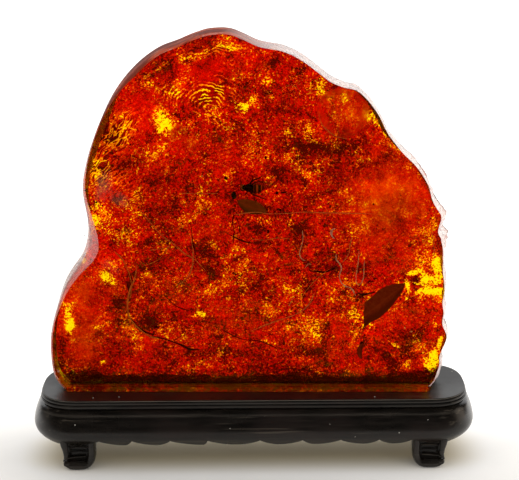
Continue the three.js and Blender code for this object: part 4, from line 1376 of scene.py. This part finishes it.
def floor_material():
    """Pale floor with a painted warm shade under the stand, and a painted glow that grows towards the
    right away from the stand and turns to even white light behind the object.
    """
    shader = Shader("pale_floor")
    x, y = (shader.node("ShaderNodeSeparateXYZ", {0: shader.place}, axis) for axis in (0, 1))
    past_x = shader.larger(shader.math("ABSOLUTE", x) - SHADE_CORE[0], 0)
    past_y = shader.larger(shader.math("ABSOLUTE", y) - SHADE_CORE[1], 0)
    beyond = shader.math("POWER", past_x * past_x + past_y * past_y, 0.5)
    mottle = shader.span(shader.noise(shader.place, 40, 3), 0.3, 0.7)
    colour = shader.mix(mottle, FLOOR_COLOUR, MOTTLED_FLOOR)
    # Painted warm shade under the stand, fading out past the shade's core
    colour = shader.mix(shader.span(beyond, 0, SHADE_FADE, 1, 0), colour, PAINTED_WARM_SHADE)
    # Painted glow of the floor: stronger towards the right and away from the stand's shade, and rising
    # behind the object
    right = shader.span(x, -0.1, 0.14, 0.07, 0.17) * shader.span(beyond, 0, 0.036)
    shader.material.cycles.emission_sampling = "NONE"
    return shader.finish(
        Base_Color=colour,
        Roughness=0.8,
        Specular_IOR_Level=0,
        Emission_Color=(1, 0.995, 0.985),
        Emission_Strength=shader.span(y, -0.02, 0.12, 0, 0.4) + right,
    )


def sheet(name, near, far, rise, material, *unseen_by):
    """Wide flat sheet, level or upright, that these kinds of ray don't see."""
    wide = FLOOR_REACH
    mesh = bpy.data.meshes.new(name)
    corners = [(-wide, near, 0), (wide, near, 0), (wide, far, rise), (-wide, far, rise)]
    mesh.from_pydata(corners, [], [(0, 1, 2, 3)])
    mesh.materials.append(material)
    made = bpy.data.objects.new(name, mesh)
    bpy.context.scene.collection.objects.link(made)
    for ray in unseen_by:
        setattr(made, "visible_" + ray, False)


def stage():
    """Floor, and a dim red floor and wall in front that glow with painted red light, which only the light
    through the resin meets.
    """
    pale = floor_material()
    sheet("floor", FLOOR_SPLIT, FLOOR_REACH, 0, pale)
    sheet("floor_near", -FLOOR_REACH, FLOOR_SPLIT, 0, pale, "glossy", "transmission")
    # Dim red glow of sheets that are no lamps: painted light that only rays through the resin see
    shader = Shader("painted_red_glow")
    shader.material.cycles.emission_sampling = "NONE"
    dim = shader.finish(
        Base_Color=(0, 0, 0), Roughness=1, Emission_Color=(1, 0.15, 0.15), Emission_Strength=0.5)
    rays = ("camera", "diffuse", "glossy", "shadow")
    sheet("floor_dim", -FLOOR_REACH, FLOOR_SPLIT, 0, dim, *rays)
    sheet("front_dim", -FLOOR_REACH, -FLOOR_REACH, DIM_RISE, dim, *rays)


def world():
    made = bpy.data.worlds.new("white_room")
    bpy.context.scene.world = made
    made.use_nodes = True
    background = made.node_tree.nodes["Background"]
    background.inputs["Color"].default_value = (1, 1, 1, 1)
    background.inputs["Strength"].default_value = 1.0
    made.cycles_visibility.glossy = False


def soft_box(name, place, width, height, radiance, colour=(1, 1, 1)):
    """Rectangular light aimed at the middle of the object."""
    light = bpy.data.lights.new(name, "AREA")
    light.shape = "RECTANGLE"
    light.size, light.size_y = width, height
    light.energy = radiance * width * height * math.pi
    light.color = colour
    made = bpy.data.objects.new(name, light)
    made.location = place
    aim = (LIGHT_TARGET - Vector(place)).to_track_quat("-Z", "Y")
    made.rotation_euler = aim.to_euler()
    made.visible_camera = False
    made.visible_transmission = False
    bpy.context.scene.collection.objects.link(made)
    return made


def lights():
    soft_box("back_sheet", (0, 1.9, 0.7), 3.4, 1.6, 1.15)
    soft_box("overhead", (0, 1.1, 1.5), 2.4, 1.5, 0.8)
    soft_box("left_box", (-1.6, 0.2, 0.4), 1.0, 1.0, 0.3, (1, 0.9, 0.78))
    soft_box("right_box", (1.6, 0.2, 0.4), 1.0, 1.0, 1.5, (1, 0.84, 0.68))
    key = soft_box("front_box", (0.35, -1.5, 0.62), 1.5, 0.9, 1.1)
    key.visible_glossy = False


slab = amber()
inclusions()
stand(slab)

camera()
stage()
world()
lights()
bpy.context.scene.view_settings.view_transform = "Standard"
